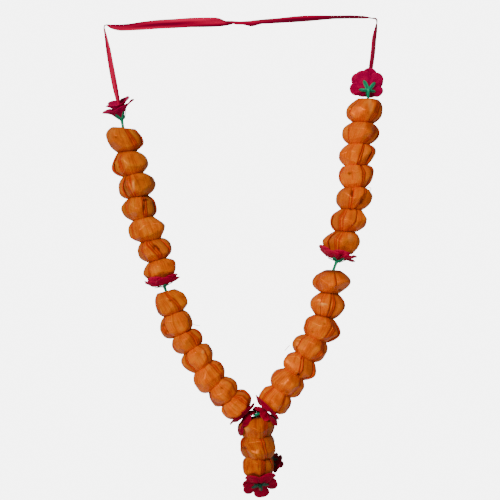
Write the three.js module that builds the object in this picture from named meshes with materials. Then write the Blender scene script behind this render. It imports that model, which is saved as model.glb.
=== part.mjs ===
// A hand-made marigold garland: beads folded from dyed leaf strip and red cloth flowers on tube
// stems, strung on cord and closed at the neck by a satin ribbon.
// Millimetres. +X is the viewer's right, +Z is up, and the garland lies in the X-Z plane and faces -Y.
// The origin is on the underside of the neck ribbon's middle, where it is hung up.

import * as THREE from 'three';

// Beads
const STRIPS = 7; // strips folded round a bead
const TOP_LEVEL = 1.6; // height of the outermost strip over the bead's round, at its edges
const UPPER_LEVEL = 0.4; // the same for a strip that laps its neighbours
const LOWER_LEVEL = -0.6; // the same for a strip that tucks under its neighbours
const STRIP_CROWN = 0.6; // how much higher a strip is along its middle
const LEVEL_ROOM = 0.75; // the bead's round lies this far inside its widest
const EDGE_WIDTH = 1.2; // degrees that a lapped edge slopes over, each side
const CRUMPLE = 0.3; // most that a fold stands proud or sinks
const BORE = 1.5; // radius of the hole that the cord runs in
const SHOULDER_DEPTH = 0.17; // how far a bead's shoulder is from its face, as a share of its height
const TOUCH_GAP = 0.3; // between neighbouring pieces that touch

// Flowers
const LOBES = 5;
const LOBE_SHAPE = 0.4; // how square a petal's end is, from 1, pointed, towards 0, square
const CLOTH = 0.8; // thickness of a petal
const PETAL_SHARES = [0.4, 0.72, 1]; // places along a petal where it bends
const HUB_RADIUS = 2.6;
const UPPER_PETALS = 1.7; // height of the upper petals' root over the lower petals' root
const STEM_BORE = 1.15;
const STEM_RADIUS = 1.75;
const CALYX_DEPTH = 2.6;
const CALYX_WALL = 0.8;
const SEPAL_REACH = 0.85; // how far a sepal reaches, as a share of the way to a petal's first bend
const SEPAL_GAP = 0.85; // between a sepal and the petal over it

// Cord and ribbon
const CORD_RADIUS = 0.65;
const CORD_SIDES = 8;
const KNOT_RADIUS = 2.3;
const RIBBON_WIDTH = 12;
const RIBBON_THICKNESS = 0.8;

// Beads from the top of each length down: the middle's x and z, the width, the lean in degrees
// (right side up), the outermost strip's left and right edge in degrees to the right of the front,
// how far each of them slants in degrees from the top to the bottom, the side on which it laps
// deepest (1 right, -1 left), and the outline: where its left side is widest, as a share of the way
// down, and how full that side is (1.3 pointed, 3 square), the same two for its right side, and the
// radius of its top and bottom face, as a share of its own.
const LENGTHS = {
  left_upper: {
    strand: 'left', first: 1, top: [-146, -133], bottom: [-96.5, -323.5],
    beads: [
      [-144, -148, 46, -4, -60, 25, 0, 30, 1, 0.36, 2.1, 0.42, 2.2, 0.66, 0.5],
      [-138, -177, 44.5, 15, -24, 70, 0, 0, -1, 0.6, 1.7, 0.5, 2.4, 0.54, 0.58],
      [-129.5, -205, 46.5, 12, -8, 62, 10, 0, -1, 0.6, 2.4, 0.5, 2.4, 0.56, 0.6],
      [-126, -232.5, 44, 10, -40, 17, 0, -12, 1, 0.5, 1.9, 0.55, 2.6, 0.56, 0.6],
      [-116, -259.5, 46, 16, -50, 59, 0, 0, 1, 0.6, 2.4, 0.55, 1.4, 0.6, 0.56],
      [-106.5, -286, 43, 10, -32, 0, 0, 34, 1, 0.5, 2.4, 0.36, 2.6, 0.62, 0.54],
      [-100.5, -309.5, 42.5, 18, -36, 60, 6, 0, -1, 0.45, 1.6, 0.38, 2.2, 0.56, 0.52],
    ],
  },
  left_lower: {
    strand: 'left', first: 8, top: [-92.5, -336.5], bottom: [4.4, -487],
    beads: [
      [-86, -350, 42, 15, -49, 12, 6, 40, -1, 0.58, 2.7, 0.55, 2.7, 0.54, 0.62],
      [-80, -379, 42, 25, -35, 54, 6, 0, -1, 0.45, 2.8, 0.5, 2.6, 0.64, 0.66],
      [-65, -399, 39, 33, -60, 27, 0, 6, 1, 0.55, 2.4, 0.5, 2.3, 0.64, 0.66],
      [-53, -418, 42.5, 31, -34, 35, 0, 0, -1, 0.5, 2.4, 0.45, 2.4, 0.62, 0.66],
      [-38, -443, 42, 42, -70, 40, 0, 0, 1, 0.55, 2.8, 0.5, 2.4, 0.66, 0.66],
      [-21, -462.5, 41, 48, -42, 50, 8, 0, -1, 0.5, 2.4, 0.5, 2.4, 0.68, 0.68],
      [-4.5, -478, 41, 45, -47, 26, 4, 10, 1, 0.5, 2.5, 0.5, 2.3, 0.7, 0.58],
    ],
  },
  right_upper: {
    strand: 'right', first: 1, top: [160, -96.5], bottom: [125, -290],
    beads: [
      [155.5, -111.5, 46, -3, -48, 30, 0, -18, 1, 0.48, 2.2, 0.48, 2.3, 0.56, 0.6],
      [151, -140, 46, -5, -48, 36, 0, -46, 1, 0.5, 2.2, 0.45, 2.3, 0.56, 0.6],
      [146, -166, 45, 3, -68, 8, 0, -22, 1, 0.5, 1.9, 0.5, 2.3, 0.6, 0.62],
      [145, -193, 42.5, 2, -62, 20, 0, 12, 1, 0.5, 2.4, 0.34, 2.8, 0.74, 0.64],
      [142, -220, 46, -2, -8, 24, 0, -30, 1, 0.48, 2.3, 0.5, 2.2, 0.58, 0.56],
      [136, -249, 46, -5, -20, 14, 8, -24, -1, 0.45, 2.2, 0.5, 2.4, 0.58, 0.56],
      [126.5, -275, 47, -2, -10, 58, 0, 0, -1, 0.46, 1.7, 0.46, 1.7, 0.54, 0.62],
    ],
  },
  right_lower: {
    strand: 'right', first: 8, top: [116.5, -310.5], bottom: [36.2, -482.8],
    beads: [
      [114.5, -322.5, 48, -3, -43, 10, 0, 14, -1, 0.58, 1.9, 0.5, 1.6, 0.4, 0.54],
      [108.5, -354, 44, -8, -26, 9, 4, 0, 1, 0.5, 1.9, 0.5, 1.8, 0.5, 0.52],
      [102, -384, 46, -22, -55, 22, 0, -10, 1, 0.5, 2.2, 0.42, 1.8, 0.56, 0.62],
      [87, -407, 44, -25, -45, 32, 0, 0, 1, 0.5, 2.6, 0.5, 2.8, 0.64, 0.64],
      [75.5, -430, 42, -32, -70, -3, 0, 28, 1, 0.5, 2.6, 0.5, 1.7, 0.64, 0.66],
      [59.5, -450.5, 43, -33, -60, 35, 0, 0, 1, 0.5, 2.6, 0.5, 2.6, 0.66, 0.66],
      [43, -473, 42.5, -35, -40, 28, 0, 8, 1, 0.5, 2.6, 0.5, 2.6, 0.68, 0.58],
    ],
  },
  pendant: {
    strand: 'pendant', first: 1, top: [22, -493.6], bottom: [23.7, -571],
    beads: [
      [22, -504.5, 44, 8, -48, 25, 0, 0, 1, 0.4, 2.9, 0.46, 2.6, 0.5, 0.78],
      [22, -530.5, 44, 0, -43, 19, 24, 20, -1, 0.5, 2.9, 0.5, 2.9, 0.8, 0.8],
      [23, -557, 39.5, 0, -60, 13, 0, -4, 1, 0.42, 2.8, 0.42, 2.8, 0.78, 0.56],
    ],
  },
};

// Flowers: the base where the petals meet the calyx, the seat that the flower's middle faces, the
// point that the stem runs to, the petals' length, the lift of the lower and upper petals in degrees,
// a sway that lifts the petals more towards one side, a stretch that lengthens them towards another,
// the side that the first lobe points to (degrees to the right of the front), how far the upper
// petals are turned from the lower ones, and the beads that the petals are bent clear of.
const KNOT_CENTRE = [21.5, 0, -488.6];
const FLOWERS = {
  left_top: {
    base: [-148, 0, -120.5], seat: [-148.5, 0, -116.5], stem: [-146, 0, -133],
    petals: 24.5, lift: [42, 60], sway: 14, swayTo: 90, stretch: 0.25, stretchTo: 165,
    lobe: -40, turn: 40, clear: [],
  },
  right_top: {
    base: [160.2, -2.6, -84.5], seat: [160.2, 0.64, -82.07], stem: [160, 0, -96.5],
    petals: 20, lift: [15, 30], sway: 0, swayTo: 0, stretch: 0.22, stretchTo: -20,
    lobe: -28, turn: 36, clear: ['right_01'],
  },
  left_middle: {
    base: [-94.8, -1, -329.2], seat: [-96.5, 0, -323.5], stem: [-92.5, 0, -336.5],
    petals: 20.5, lift: [24, 30], sway: 3, swayTo: -90, stretch: 0.06, stretchTo: -90,
    lobe: -62, turn: 36, clear: ['left_07', 'left_08'],
  },
  right_middle: {
    base: [121.2, -1.4, -298.4], seat: [125, 0, -290], stem: [116.5, 0, -310.5],
    petals: 22, lift: [26, 34], sway: 6, swayTo: 90, stretch: 0, stretchTo: 0,
    lobe: -36, turn: 36, clear: ['right_07', 'right_08'],
  },
  left_end: {
    base: [7, -1, -489.6], seat: [4.4, 0, -487], stem: [15, -0.8, -490.8],
    petals: 17, lift: [-29, 14], sway: 16, swayTo: 140, stretch: 0.34, stretchTo: -95,
    lobe: -10, turn: 36, clear: ['left_14', 'pendant_01'],
  },
  right_end: {
    base: [32.5, -1.4, -485.4], seat: [36.2, 0, -482.8], stem: [17.8, -6, -491.4],
    petals: 16.5, lift: [-27, 14], sway: 9, swayTo: 150, stretch: 0.04, stretchTo: 90,
    lobe: -58, turn: 36, clear: ['right_14', 'pendant_01'],
  },
  pendant_end: {
    base: [24.8, -6.6, -576.4], seat: [23.8, 0, -571.2], stem: [25, -12.6, -581.2],
    petals: 19.4, lift: [2, 12], sway: 0, swayTo: 0, stretch: 0.14, stretchTo: 180,
    lobe: -36, turn: 8, clear: ['pendant_03'],
  },
  pendant_side: {
    base: [40, 14.6, -551.1], seat: [42.7, 16.8, -553], stem: [37.9, 11.2, -545.2],
    petals: 12.5, lift: [30, 50], sway: 0, swayTo: 0, stretch: 0, stretchTo: 0,
    lobe: 10, turn: 36, clear: ['pendant_02', 'pendant_03'],
  },
};

// The way that each strand's cord takes from its last stem to the knot.
const LEFT_TAIL = [[18.9, 0, -489.5]];
const RIGHT_TAIL = [[16.7, -5.95, -491.4], [16.2, -5.4, -489.8], [17.4, -4.4, -488.3], [19.6, -3.3, -487.8]];

// Neck ribbon from the left top flower round to the right one: x, z, the turn of its width in degrees
// (0 with its edge to the viewer, 90 with its face), and where they differ from 0 and the full width,
// y and the gathered width.
const RIBBON_ROUTE = [
  [-148.8, -114.6, 10, 0, 3.4], [-149.4, -111, 16, 0, 5], [-151, -104, 24, 0, 10], [-153, -95, 30],
  [-156, -80, 37], [-159.7, -60, 38],
  [-164, -36, 34], [-167.6, -18, 20], [-169.6, -9, 8], [-170.3, -5.5, 0], [-169.4, -3.4, 0],
  [-166.5, -3.6, 8], [-160, -5.6, 34], [-150, -6.8, 46], [-137.5, -6, 50], [-119, -4.2, 66],
  [-100, -2.6, 76], [-81, -1.8, 84], [-62, -0.6, 92], [-44, -0.3, 106], [-25, 0, 128],
  [-13, 0.3, 152], [-5, 0.4, 180], [5, 0.4, 180], [14, 0.6, 200], [31, 1, 213], [50, 2.2, 216],
  [69, 3.6, 224], [84, 4.4, 226], [100, 5, 219], [119, 5.5, 210], [138, 5.8, 210], [156, 5.5, 205],
  [166, 4.8, 190], [170.3, 4.6, 180], [171.4, 2.8, 180], [171.2, -1.5, 190], [170.2, -8, 200],
  [168, -20, 212, 1], [167.2, -34, 214, 3], [166, -46, 214, 5], [164.4, -58, 212, 7],
  [162.9, -66, 208, 7.4, 11], [161.8, -72, 200, 6.6, 9], [161, -77.5, 190, 4.6, 6],
  [160.6, -81.2, 180, 2.3, 3],
];

const COLOURS = {
  leaf: { color: 0xdd6a12, roughness: 0.45, metalness: 0 },
  cloth: { color: 0xb0082e, roughness: 0.75, metalness: 0 },
  stem: { color: 0x0e6b45, roughness: 0.4, metalness: 0 },
  ribbon: { color: 0xb3112f, roughness: 0.35, metalness: 0 },
  cord: { color: 0xd8a08a, roughness: 0.85, metalness: 0 },
};

const garland = new THREE.Group();

const vec = (x, y, z) => new THREE.Vector3(x, y, z);
const flat = ([x, z]) => vec(x, 0, z);
const radians = THREE.MathUtils.degToRad;

// A repeatable draw from 0 to 1 for any two whole numbers.
function draw(seed, index) {
  const wave = Math.sin(seed * 12.9898 + index * 78.233) * 43758.5453;
  return wave - Math.floor(wave);
}

function addPiece(name, geometry, look) {
  const mesh = new THREE.Mesh(geometry, new THREE.MeshStandardMaterial(COLOURS[look]));
  mesh.name = name;
  garland.add(mesh);
}

// One closed skin over a row of rings with equal counts, closed on itself or capped at both ends.
function skin(rings, loop) {
  const count = rings[0].length;
  const points = rings.flat();
  const faces = [];
  const spans = loop ? rings.length : rings.length - 1;
  for (let i = 0; i < spans; i += 1) {
    const here = i * count;
    const next = ((i + 1) % rings.length) * count;
    for (let j = 0; j < count; j += 1) {
      const k = (j + 1) % count;
      faces.push([here + j, here + k, next + k], [here + j, next + k, next + j]);
    }
  }
  if (!loop) {
    const last = (rings.length - 1) * count;
    for (let j = 1; j < count - 1; j += 1) {
      faces.push([0, j + 1, j], [last, last + j, last + j + 1]);
    }
  }
  return closedGeometry(points, faces);
}

// Turns every face outwards, which the sign of the enclosed volume tells.
function closedGeometry(points, faces) {
  const volume = faces.reduce(
    (sum, [a, b, c]) => sum + points[a].dot(points[b].clone().cross(points[c])),
    0,
  );
  const outward = volume > 0 ? faces : faces.map(([a, b, c]) => [a, c, b]);
  const geometry = new THREE.BufferGeometry();
  geometry.setFromPoints(points);
  geometry.setIndex(outward.flat());
  geometry.computeVertexNormals();
  return geometry;
}

// The measures of one bead, its axes and the two joints that it lies between.
function describeBead(length, index) {
  const [x, z, width, lean, left, right, leftSlant, rightSlant, deep, ...outline] = length.beads[index];
  const number = length.first + index;
  const seed = number + { left: 0, right: 20, pendant: 40 }[length.strand];
  const pitch = radians((draw(seed, 1) - 0.5) * 8);
  const across = vec(Math.cos(radians(lean)), 0, Math.sin(radians(lean)));
  const up = vec(-across.z, 0, across.x).applyAxisAngle(across, pitch);
  return {
    name: `${length.strand}_${String(number).padStart(2, '0')}`,
    seed,
    centre: vec(x, 0, z),
    radius: width / 2 - LEVEL_ROOM,
    right: across,
    up,
    back: up.clone().cross(across),
    edges: [left, right],
    slants: [leftSlant, rightSlant],
    deep,
    outline,
  };
}

// Each bead of a length with the point and plane of the joint at its top and its bottom.
function stringBeads(length) {
  const beads = length.beads.map((row, index) => describeBead(length, index));
  const joints = [{ point: flat(length.top), normal: beads[0].up, gap: 0 }];
  for (let i = 1; i < beads.length; i += 1) {
    joints.push({
      point: beads[i - 1].centre.clone().lerp(beads[i].centre, 0.5),
      normal: beads[i - 1].up.clone().add(beads[i].up).normalize(),
      gap: TOUCH_GAP / 2,
    });
  }
  joints.push({ point: flat(length.bottom), normal: beads.at(-1).up, gap: 0 });
  beads.forEach((bead, i) => {
    bead.top = joints[i];
    bead.bottom = joints[i + 1];
    const middle = bead.top.point.clone().lerp(bead.bottom.point, 0.5);
    bead.bulge = bead.centre.clone().sub(middle);
  });
  return beads;
}

// Where a bead is widest and how full it is, at an angle round it.
function beadFullness(bead, angle) {
  const [leftWidest, leftFull, rightWidest, rightFull] = bead.outline;
  const side = (1 + Math.sin(angle)) / 2;
  return {
    widest: THREE.MathUtils.lerp(leftWidest, rightWidest, side),
    full: THREE.MathUtils.lerp(leftFull, rightFull, side),
  };
}

// The radius of a bead at a share of the way down and an angle, as a share of its own.
function beadRadius(bead, share, angle) {
  const { widest, full } = beadFullness(bead, angle);
  const above = share < widest;
  const away = above ? (widest - share) / widest : (share - widest) / (1 - widest);
  const end = bead.outline[above ? 4 : 5];
  return end + (1 - end) * (1 - away ** full);
}

function beadAxisPoint(bead, share) {
  const point = bead.top.point.clone().lerp(bead.bottom.point, share);
  return point.addScaledVector(bead.bulge, 4 * share * (1 - share));
}

// A point of a bead, tilted near its ends so that its faces lie in the joints' planes.
function beadPoint(bead, share, angle, radius) {
  const point = beadAxisPoint(bead, share)
    .addScaledVector(bead.right, radius * Math.sin(angle))
    .addScaledVector(bead.back, -radius * Math.cos(angle));
  [[bead.top, (1 - share) ** 2], [bead.bottom, share ** 2]].forEach(([joint, weight]) => {
    const upright = joint.normal.dot(bead.up);
    const rise = joint.point.clone().sub(point).dot(joint.normal) / upright;
    const along = joint.point.clone().sub(beadAxisPoint(bead, share)).dot(joint.normal) / upright;
    point.addScaledVector(bead.up, (rise - along) * weight);
  });
  return point;
}

// Edges of the strips round a bead, each with its place, its slant and the strip's own level.
function stripLayout(bead) {
  const [left, right] = bead.edges;
  const rest = (360 - (right - left)) / (STRIPS - 1);
  const strips = [{ from: left, level: TOP_LEVEL, slant: bead.slants[0] }];
  let edge = right;
  let slant = bead.slants[1];
  for (let k = 1; k < STRIPS; k += 1) {
    const deep = bead.deep > 0 ? k % 2 === 1 : k % 2 === 0;
    strips.push({ from: edge, level: deep ? LOWER_LEVEL : UPPER_LEVEL, slant });
    edge += rest * (1 + 0.3 * (draw(bead.seed, 10 + k) - 0.5));
    slant = 28 * (draw(bead.seed, 20 + k) - 0.5);
  }
  return strips;
}

// Columns of a bead's skin: both edges and the middle of every strip.
function beadColumns(bead) {
  const strips = stripLayout(bead);
  const columns = [];
  strips.forEach((strip, k) => {
    const next = strips[(k + 1) % STRIPS];
    const to = next.from + (k === STRIPS - 1 ? 360 : 0);
    columns.push({ angle: strip.from + EDGE_WIDTH, slant: strip.slant, height: strip.level });
    columns.push({
      angle: (strip.from + to) / 2,
      slant: (strip.slant + next.slant) / 2,
      height: strip.level + STRIP_CROWN,
    });
    columns.push({ angle: to - EDGE_WIDTH, slant: next.slant, height: strip.level });
  });
  return columns;
}

// Presses a point on to, or back behind, the plane of a joint. The side is 1 at the bead's top.
function pressToJoint(point, joint, side, onPlane) {
  const inside = joint.point.clone().sub(point).dot(joint.normal) * side;
  if (onPlane || inside < joint.gap) {
    point.addScaledVector(joint.normal, (inside - joint.gap) * side);
  }
  return point;
}

function boreRing(bead, share, joint, side) {
  const count = STRIPS * 3;
  const ring = [];
  for (let i = 0; i < count; i += 1) {
    const angle = radians(bead.edges[0] + (360 * i) / count);
    ring.push(pressToJoint(beadPoint(bead, share, angle, BORE), joint, side, true));
  }
  return ring;
}

// A folded bead: rings down its side, from the top face's bore to the bottom face's.
function beadGeometry(bead) {
  const columns = beadColumns(bead);
  const rings = [0, SHOULDER_DEPTH, 'widest', 1 - SHOULDER_DEPTH, 1].map((place, row) => (
    columns.map((column, i) => {
      const share = place === 'widest' ? beadFullness(bead, radians(column.angle)).widest : place;
      const angle = radians(column.angle + column.slant * (share - 0.5));
      const laps = place === 0 || place === 1 ? 0.1 : 1;
      const crumple = CRUMPLE * 2 * (draw(bead.seed, 100 + row * 40 + i) - 0.5);
      const reach = bead.radius * beadRadius(bead, share, angle) + laps * (column.height + crumple);
      const point = beadPoint(bead, share, angle, reach);
      pressToJoint(point, bead.top, 1, place === 0);
      return pressToJoint(point, bead.bottom, -1, place === 1);
    })));
  rings.unshift(boreRing(bead, 0, bead.top, 1));
  rings.push(boreRing(bead, 1, bead.bottom, -1));
  return skin(rings, true);
}

// Whether a point lies inside a bead that is swollen by a margin.
function insideBead(bead, point, margin) {
  const axis = bead.bottom.point.clone().sub(bead.top.point);
  const height = -axis.dot(bead.up);
  const share = -point.clone().sub(bead.top.point).dot(bead.up) / height;
  if (share < -margin / height || share > 1 + margin / height) return false;
  const clamped = THREE.MathUtils.clamp(share, 0, 1);
  const offset = point.clone().sub(beadAxisPoint(bead, clamped));
  const angle = Math.atan2(offset.dot(bead.right), -offset.dot(bead.back));
  return offset.length() < bead.radius * beadRadius(bead, clamped, angle) + TOP_LEVEL + margin;
}

// Moves a point straight away from the beads' middles until it is clear of them all, by the margin
// from the first bead and by a little from the rest.
function bendClear(point, beads, margin) {
  for (let step = 0; step < 120; step += 1) {
    const crossed = beads.find((bead, i) => insideBead(bead, point, i === 0 ? margin : CLOTH * 3.4));
    if (!crossed) break;
    const away = point.clone().sub(crossed.centre).normalize();
    point.addScaledVector(away, 0.25);
  }
  return point;
}

// Axes and measures of one flower. The seat is the joint above it and the foot the joint below, if
// a bead is there.
function describeFlower(row, beads, joints) {
  const base = vec(...row.base);
  const axis = vec(...row.seat).sub(base);
  const hubHeight = axis.length() - TOUCH_GAP;
  axis.normalize();
  const front = vec(0, -1, 0);
  front.addScaledVector(axis, -front.dot(axis)).normalize();
  const neck = base.clone().addScaledVector(axis, -CALYX_DEPTH);
  const stemWay = neck.clone().sub(vec(...row.stem)).normalize();
  return {
    ...row,
    base,
    axis,
    hubHeight,
    front,
    right: axis.clone().cross(front),
    neck,
    stemWay,
    stemEnd: vec(...row.stem).addScaledVector(stemWay, joints.foot ? TOUCH_GAP : 0),
    seatJoint: joints.seat,
    footJoint: joints.foot,
    angles: Array.from({ length: LOBES * 4 }, (_, i) => radians(row.lobe + (90 * i) / LOBES)),
    beads: row.clear.map((name) => beads[name]),
  };
}

function flowerPoint(flower, angle, radius, height) {
  return flower.base.clone()
    .addScaledVector(flower.axis, height)
    .addScaledVector(flower.front, radius * Math.cos(angle))
    .addScaledVector(flower.right, radius * Math.sin(angle));
}

function flowerRing(flower, angles, radius, height) {
  return angles.map((angle) => flowerPoint(flower, angle, radius, height));
}

// A direction square to the flower's axis and to the way out at an angle.
function aroundFlower(flower, angle) {
  return flower.right.clone().multiplyScalar(Math.cos(angle)).addScaledVector(flower.front, -Math.sin(angle));
}

// The middle of the cloth at a share of a petal's length, in the lower layer (0) or upper one (1).
function petalMiddle(flower, layer, angle, share) {
  const lobe = radians(flower.lobe + layer * flower.turn);
  const width = Math.abs(Math.cos((LOBES / 2) * (angle - lobe))) ** LOBE_SHAPE;
  const length = flower.petals * (1 + flower.stretch * Math.cos(angle - radians(flower.stretchTo)));
  const reach = share * length * (0.5 + 0.5 * width);
  const sway = flower.sway * Math.cos(angle - radians(flower.swayTo)) * (layer ? 0.6 : 1);
  const lift = radians(flower.lift[layer] + sway);
  const bend = lift * (lift > 0 ? 1.6 - 0.6 * share : 0.7 + 0.3 * share);
  const height = CLOTH / 2 + layer * UPPER_PETALS + reach * Math.sin(bend);
  const point = flowerPoint(flower, angle, HUB_RADIUS + reach * Math.cos(bend), height);
  return bendClear(point, flower.beads, layer ? CLOTH * 3.9 : CLOTH * 5);
}

// Both faces of one layer of petals, as rings from the hub out under it and back over it.
function petalLayer(flower, layer) {
  const middle = PETAL_SHARES.map((share) => (
    flower.angles.map((angle) => petalMiddle(flower, layer, angle, share))));
  const root = flowerRing(flower, flower.angles, HUB_RADIUS, CLOTH / 2 + layer * UPPER_PETALS);
  const face = (row, side) => flower.angles.map((angle, i) => {
    const before = row > 0 ? middle[row - 1][i] : root[i];
    const after = middle[Math.min(row + 1, middle.length - 1)][i];
    const normal = after.clone().sub(before).cross(aroundFlower(flower, angle)).normalize();
    return middle[row][i].clone().addScaledVector(normal, (side * CLOTH) / 2);
  });
  return [face(0, -1), face(1, -1), face(2, -1), face(2, 1), face(1, 1), face(0, 1)];
}

// A ring near a joint, slid along a way until it lies just off the joint's plane.
function slideToJoint(ring, way, joint, side) {
  if (!joint) return ring;
  return ring.map((point) => {
    const inside = joint.point.clone().sub(point).dot(joint.normal) * side - TOUCH_GAP;
    return point.clone().addScaledVector(way, (inside * side) / way.dot(joint.normal));
  });
}

// Two layers of five-lobed cloth on a gathered hub, as one body with the cord's hole through it.
function petalGeometry(flower) {
  const ring = (radius, height) => flowerRing(flower, flower.angles, radius, height);
  const hubTop = (radius) => (
    slideToJoint(ring(radius, flower.hubHeight), flower.axis, flower.seatJoint, 1));
  return skin([
    ring(STEM_BORE, 0),
    ring(HUB_RADIUS, 0),
    ...petalLayer(flower, 0),
    ring(HUB_RADIUS, CLOTH * 1.6),
    ...petalLayer(flower, 1),
    ring(HUB_RADIUS, UPPER_PETALS + CLOTH),
    hubTop(HUB_RADIUS * 0.9),
    hubTop(STEM_BORE),
  ], true);
}

// A ring square to a way, with its columns kept in line with the flower's.
function stemRing(flower, angles, centre, way, radius) {
  const turn = new THREE.Quaternion().setFromUnitVectors(flower.axis, way);
  return angles.map((angle) => flowerPoint(flower, angle, radius, 0)
    .sub(flower.base)
    .applyQuaternion(turn)
    .add(centre));
}

// A cup with five pointed sepals on a tube stem, as one body.
function calyxGeometry(flower) {
  const angles = flower.angles.filter((_, i) => i % 2 === 0);
  const petals = petalLayer(flower, 0)[0];
  const sepals = (reach, drop) => angles.map((angle, i) => {
    const root = flowerPoint(flower, angle, HUB_RADIUS, 0);
    const way = petals[i * 2].clone().sub(root);
    const normal = way.clone().cross(aroundFlower(flower, angle)).normalize();
    return root.addScaledVector(way, i % 2 === 0 ? reach : reach * 0.12).addScaledVector(normal, -drop);
  });
  const bend = flower.axis.clone().add(flower.stemWay).normalize();
  const onStem = (radius, share, way) => (
    stemRing(flower, angles, flower.neck.clone().lerp(flower.stemEnd, share), way, radius));
  const stemFoot = (radius) => (
    slideToJoint(onStem(radius, 1, flower.stemWay), flower.stemWay, flower.footJoint, -1));
  return skin([
    flowerRing(flower, angles, STEM_BORE, -TOUCH_GAP),
    sepals(0, SEPAL_GAP),
    sepals(SEPAL_REACH, SEPAL_GAP),
    sepals(SEPAL_REACH, SEPAL_GAP + CALYX_WALL),
    onStem(STEM_RADIUS * 1.3, 0, bend),
    onStem(STEM_RADIUS, 0.35, flower.stemWay),
    stemFoot(STEM_RADIUS),
    stemFoot(STEM_BORE),
    onStem(STEM_BORE, 0, bend),
  ], true);
}

// A round cord through a list of points, each with its own radius.
function cordGeometry(stops) {
  const points = stops.map(([point]) => point);
  const rings = stops.map(([point, radius], i) => {
    const way = points[Math.min(i + 1, points.length - 1)].clone().sub(points[Math.max(i - 1, 0)]).normalize();
    const side = vec(0, 1, 0).addScaledVector(way, -way.y).normalize();
    const other = way.clone().cross(side);
    return Array.from({ length: CORD_SIDES }, (_, j) => {
      const angle = radians((360 * j) / CORD_SIDES);
      return point.clone()
        .addScaledVector(side, radius * Math.cos(angle))
        .addScaledVector(other, radius * Math.sin(angle));
    });
  });
  return skin(rings, false);
}

// The points where the cord bends on its way through a flower and its stem.
function cordThroughFlower(flower) {
  return [flower.base, flower.neck, flower.stemEnd];
}

function jointPoints(beads) {
  return [beads[0].top.point, ...beads.map((bead) => bead.bottom.point)];
}

function strandCord(topFlower, upper, middleFlower, lower, endFlower, tail) {
  const start = topFlower.base.clone().addScaledVector(topFlower.axis, topFlower.hubHeight);
  const route = [
    start,
    ...cordThroughFlower(topFlower),
    ...jointPoints(upper),
    ...cordThroughFlower(middleFlower),
    ...jointPoints(lower),
    ...cordThroughFlower(endFlower),
    ...tail.map((point) => vec(...point)),
  ];
  return cordGeometry(route.map((point) => [point, CORD_RADIUS]));
}

// The knot's stops from one end to the other along a way, wide in the middle.
function knotStops(centre, way, radius) {
  return [[-1, 0.45], [-0.6, 0.85], [0, 1], [0.6, 0.85]].map(([along, share]) => (
    [centre.clone().addScaledVector(way, along * radius), radius * share]));
}

function pendantCord(beads, flower) {
  const knot = knotStops(vec(...KNOT_CENTRE), vec(0, 0, -1), KNOT_RADIUS);
  const route = [...jointPoints(beads), ...cordThroughFlower(flower)].map((point) => [point, CORD_RADIUS]);
  const down = flower.stemEnd.clone().sub(flower.neck).normalize();
  const tailRadius = KNOT_RADIUS * 0.8;
  const tailCentre = flower.stemEnd.clone().addScaledVector(down, tailRadius + TOUCH_GAP);
  const tail = knotStops(tailCentre, down.clone().negate(), tailRadius).reverse();
  return cordGeometry([...knot, ...route, ...tail]);
}

function ribbonGeometry() {
  const points = RIBBON_ROUTE.map(([x, z, , y = 0]) => vec(x, y, z));
  const rings = RIBBON_ROUTE.map(([, , turn, , width = RIBBON_WIDTH], i) => {
    const way = points[Math.min(i + 1, points.length - 1)].clone().sub(points[Math.max(i - 1, 0)]).normalize();
    const across = vec(0, 1, 0).multiplyScalar(Math.cos(radians(turn)))
      .addScaledVector(vec(-way.z, 0, way.x), Math.sin(radians(turn)));
    across.addScaledVector(way, -across.dot(way)).normalize();
    const face = across.clone().cross(way);
    return [[-1, -1], [1, -1], [1, 1], [-1, 1]].map(([a, b]) => points[i].clone()
      .addScaledVector(across, (a * width) / 2)
      .addScaledVector(face, (b * RIBBON_THICKNESS) / 2));
  });
  return skin(rings, false);
}

const beads = {};
const strings = {};
Object.entries(LENGTHS).forEach(([key, length]) => {
  strings[key] = stringBeads(length);
  strings[key].forEach((bead) => { beads[bead.name] = bead; });
});

const joints = {
  left_top: { foot: strings.left_upper[0].top },
  right_top: { foot: strings.right_upper[0].top },
  left_middle: { seat: strings.left_upper.at(-1).bottom, foot: strings.left_lower[0].top },
  right_middle: { seat: strings.right_upper.at(-1).bottom, foot: strings.right_lower[0].top },
  left_end: { seat: strings.left_lower.at(-1).bottom },
  right_end: { seat: strings.right_lower.at(-1).bottom },
  pendant_end: { seat: strings.pendant.at(-1).bottom },
  pendant_side: {},
};
const flowers = {};
Object.entries(FLOWERS).forEach(([key, row]) => {
  flowers[key] = describeFlower(row, beads, joints[key]);
});

Object.values(beads).forEach((bead) => addPiece(`bead_${bead.name}`, beadGeometry(bead), 'leaf'));
Object.entries(flowers).forEach(([key, flower]) => {
  addPiece(`flower_${key}_petals`, petalGeometry(flower), 'cloth');
  addPiece(`flower_${key}_calyx`, calyxGeometry(flower), 'stem');
});
addPiece('cord_left', strandCord(
  flowers.left_top, strings.left_upper, flowers.left_middle, strings.left_lower, flowers.left_end,
  LEFT_TAIL,
), 'cord');
addPiece('cord_right', strandCord(
  flowers.right_top, strings.right_upper, flowers.right_middle, strings.right_lower, flowers.right_end,
  RIGHT_TAIL,
), 'cord');
addPiece('cord_pendant', pendantCord(strings.pendant, flowers.pendant_end), 'cord');
addPiece('neck_ribbon', ribbonGeometry(), 'ribbon');

export default garland;
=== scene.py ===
"""Looks of a hand-made marigold garland: beads folded from dyed palm leaf, red cloth flowers, satin ribbon.

Metres in Blender, millimetres in the tables. +X is the viewer's right, +Z is up and -Y faces the viewer.
"""

import math
from types import SimpleNamespace

import bpy
import numpy as np
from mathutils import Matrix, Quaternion, Vector


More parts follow.
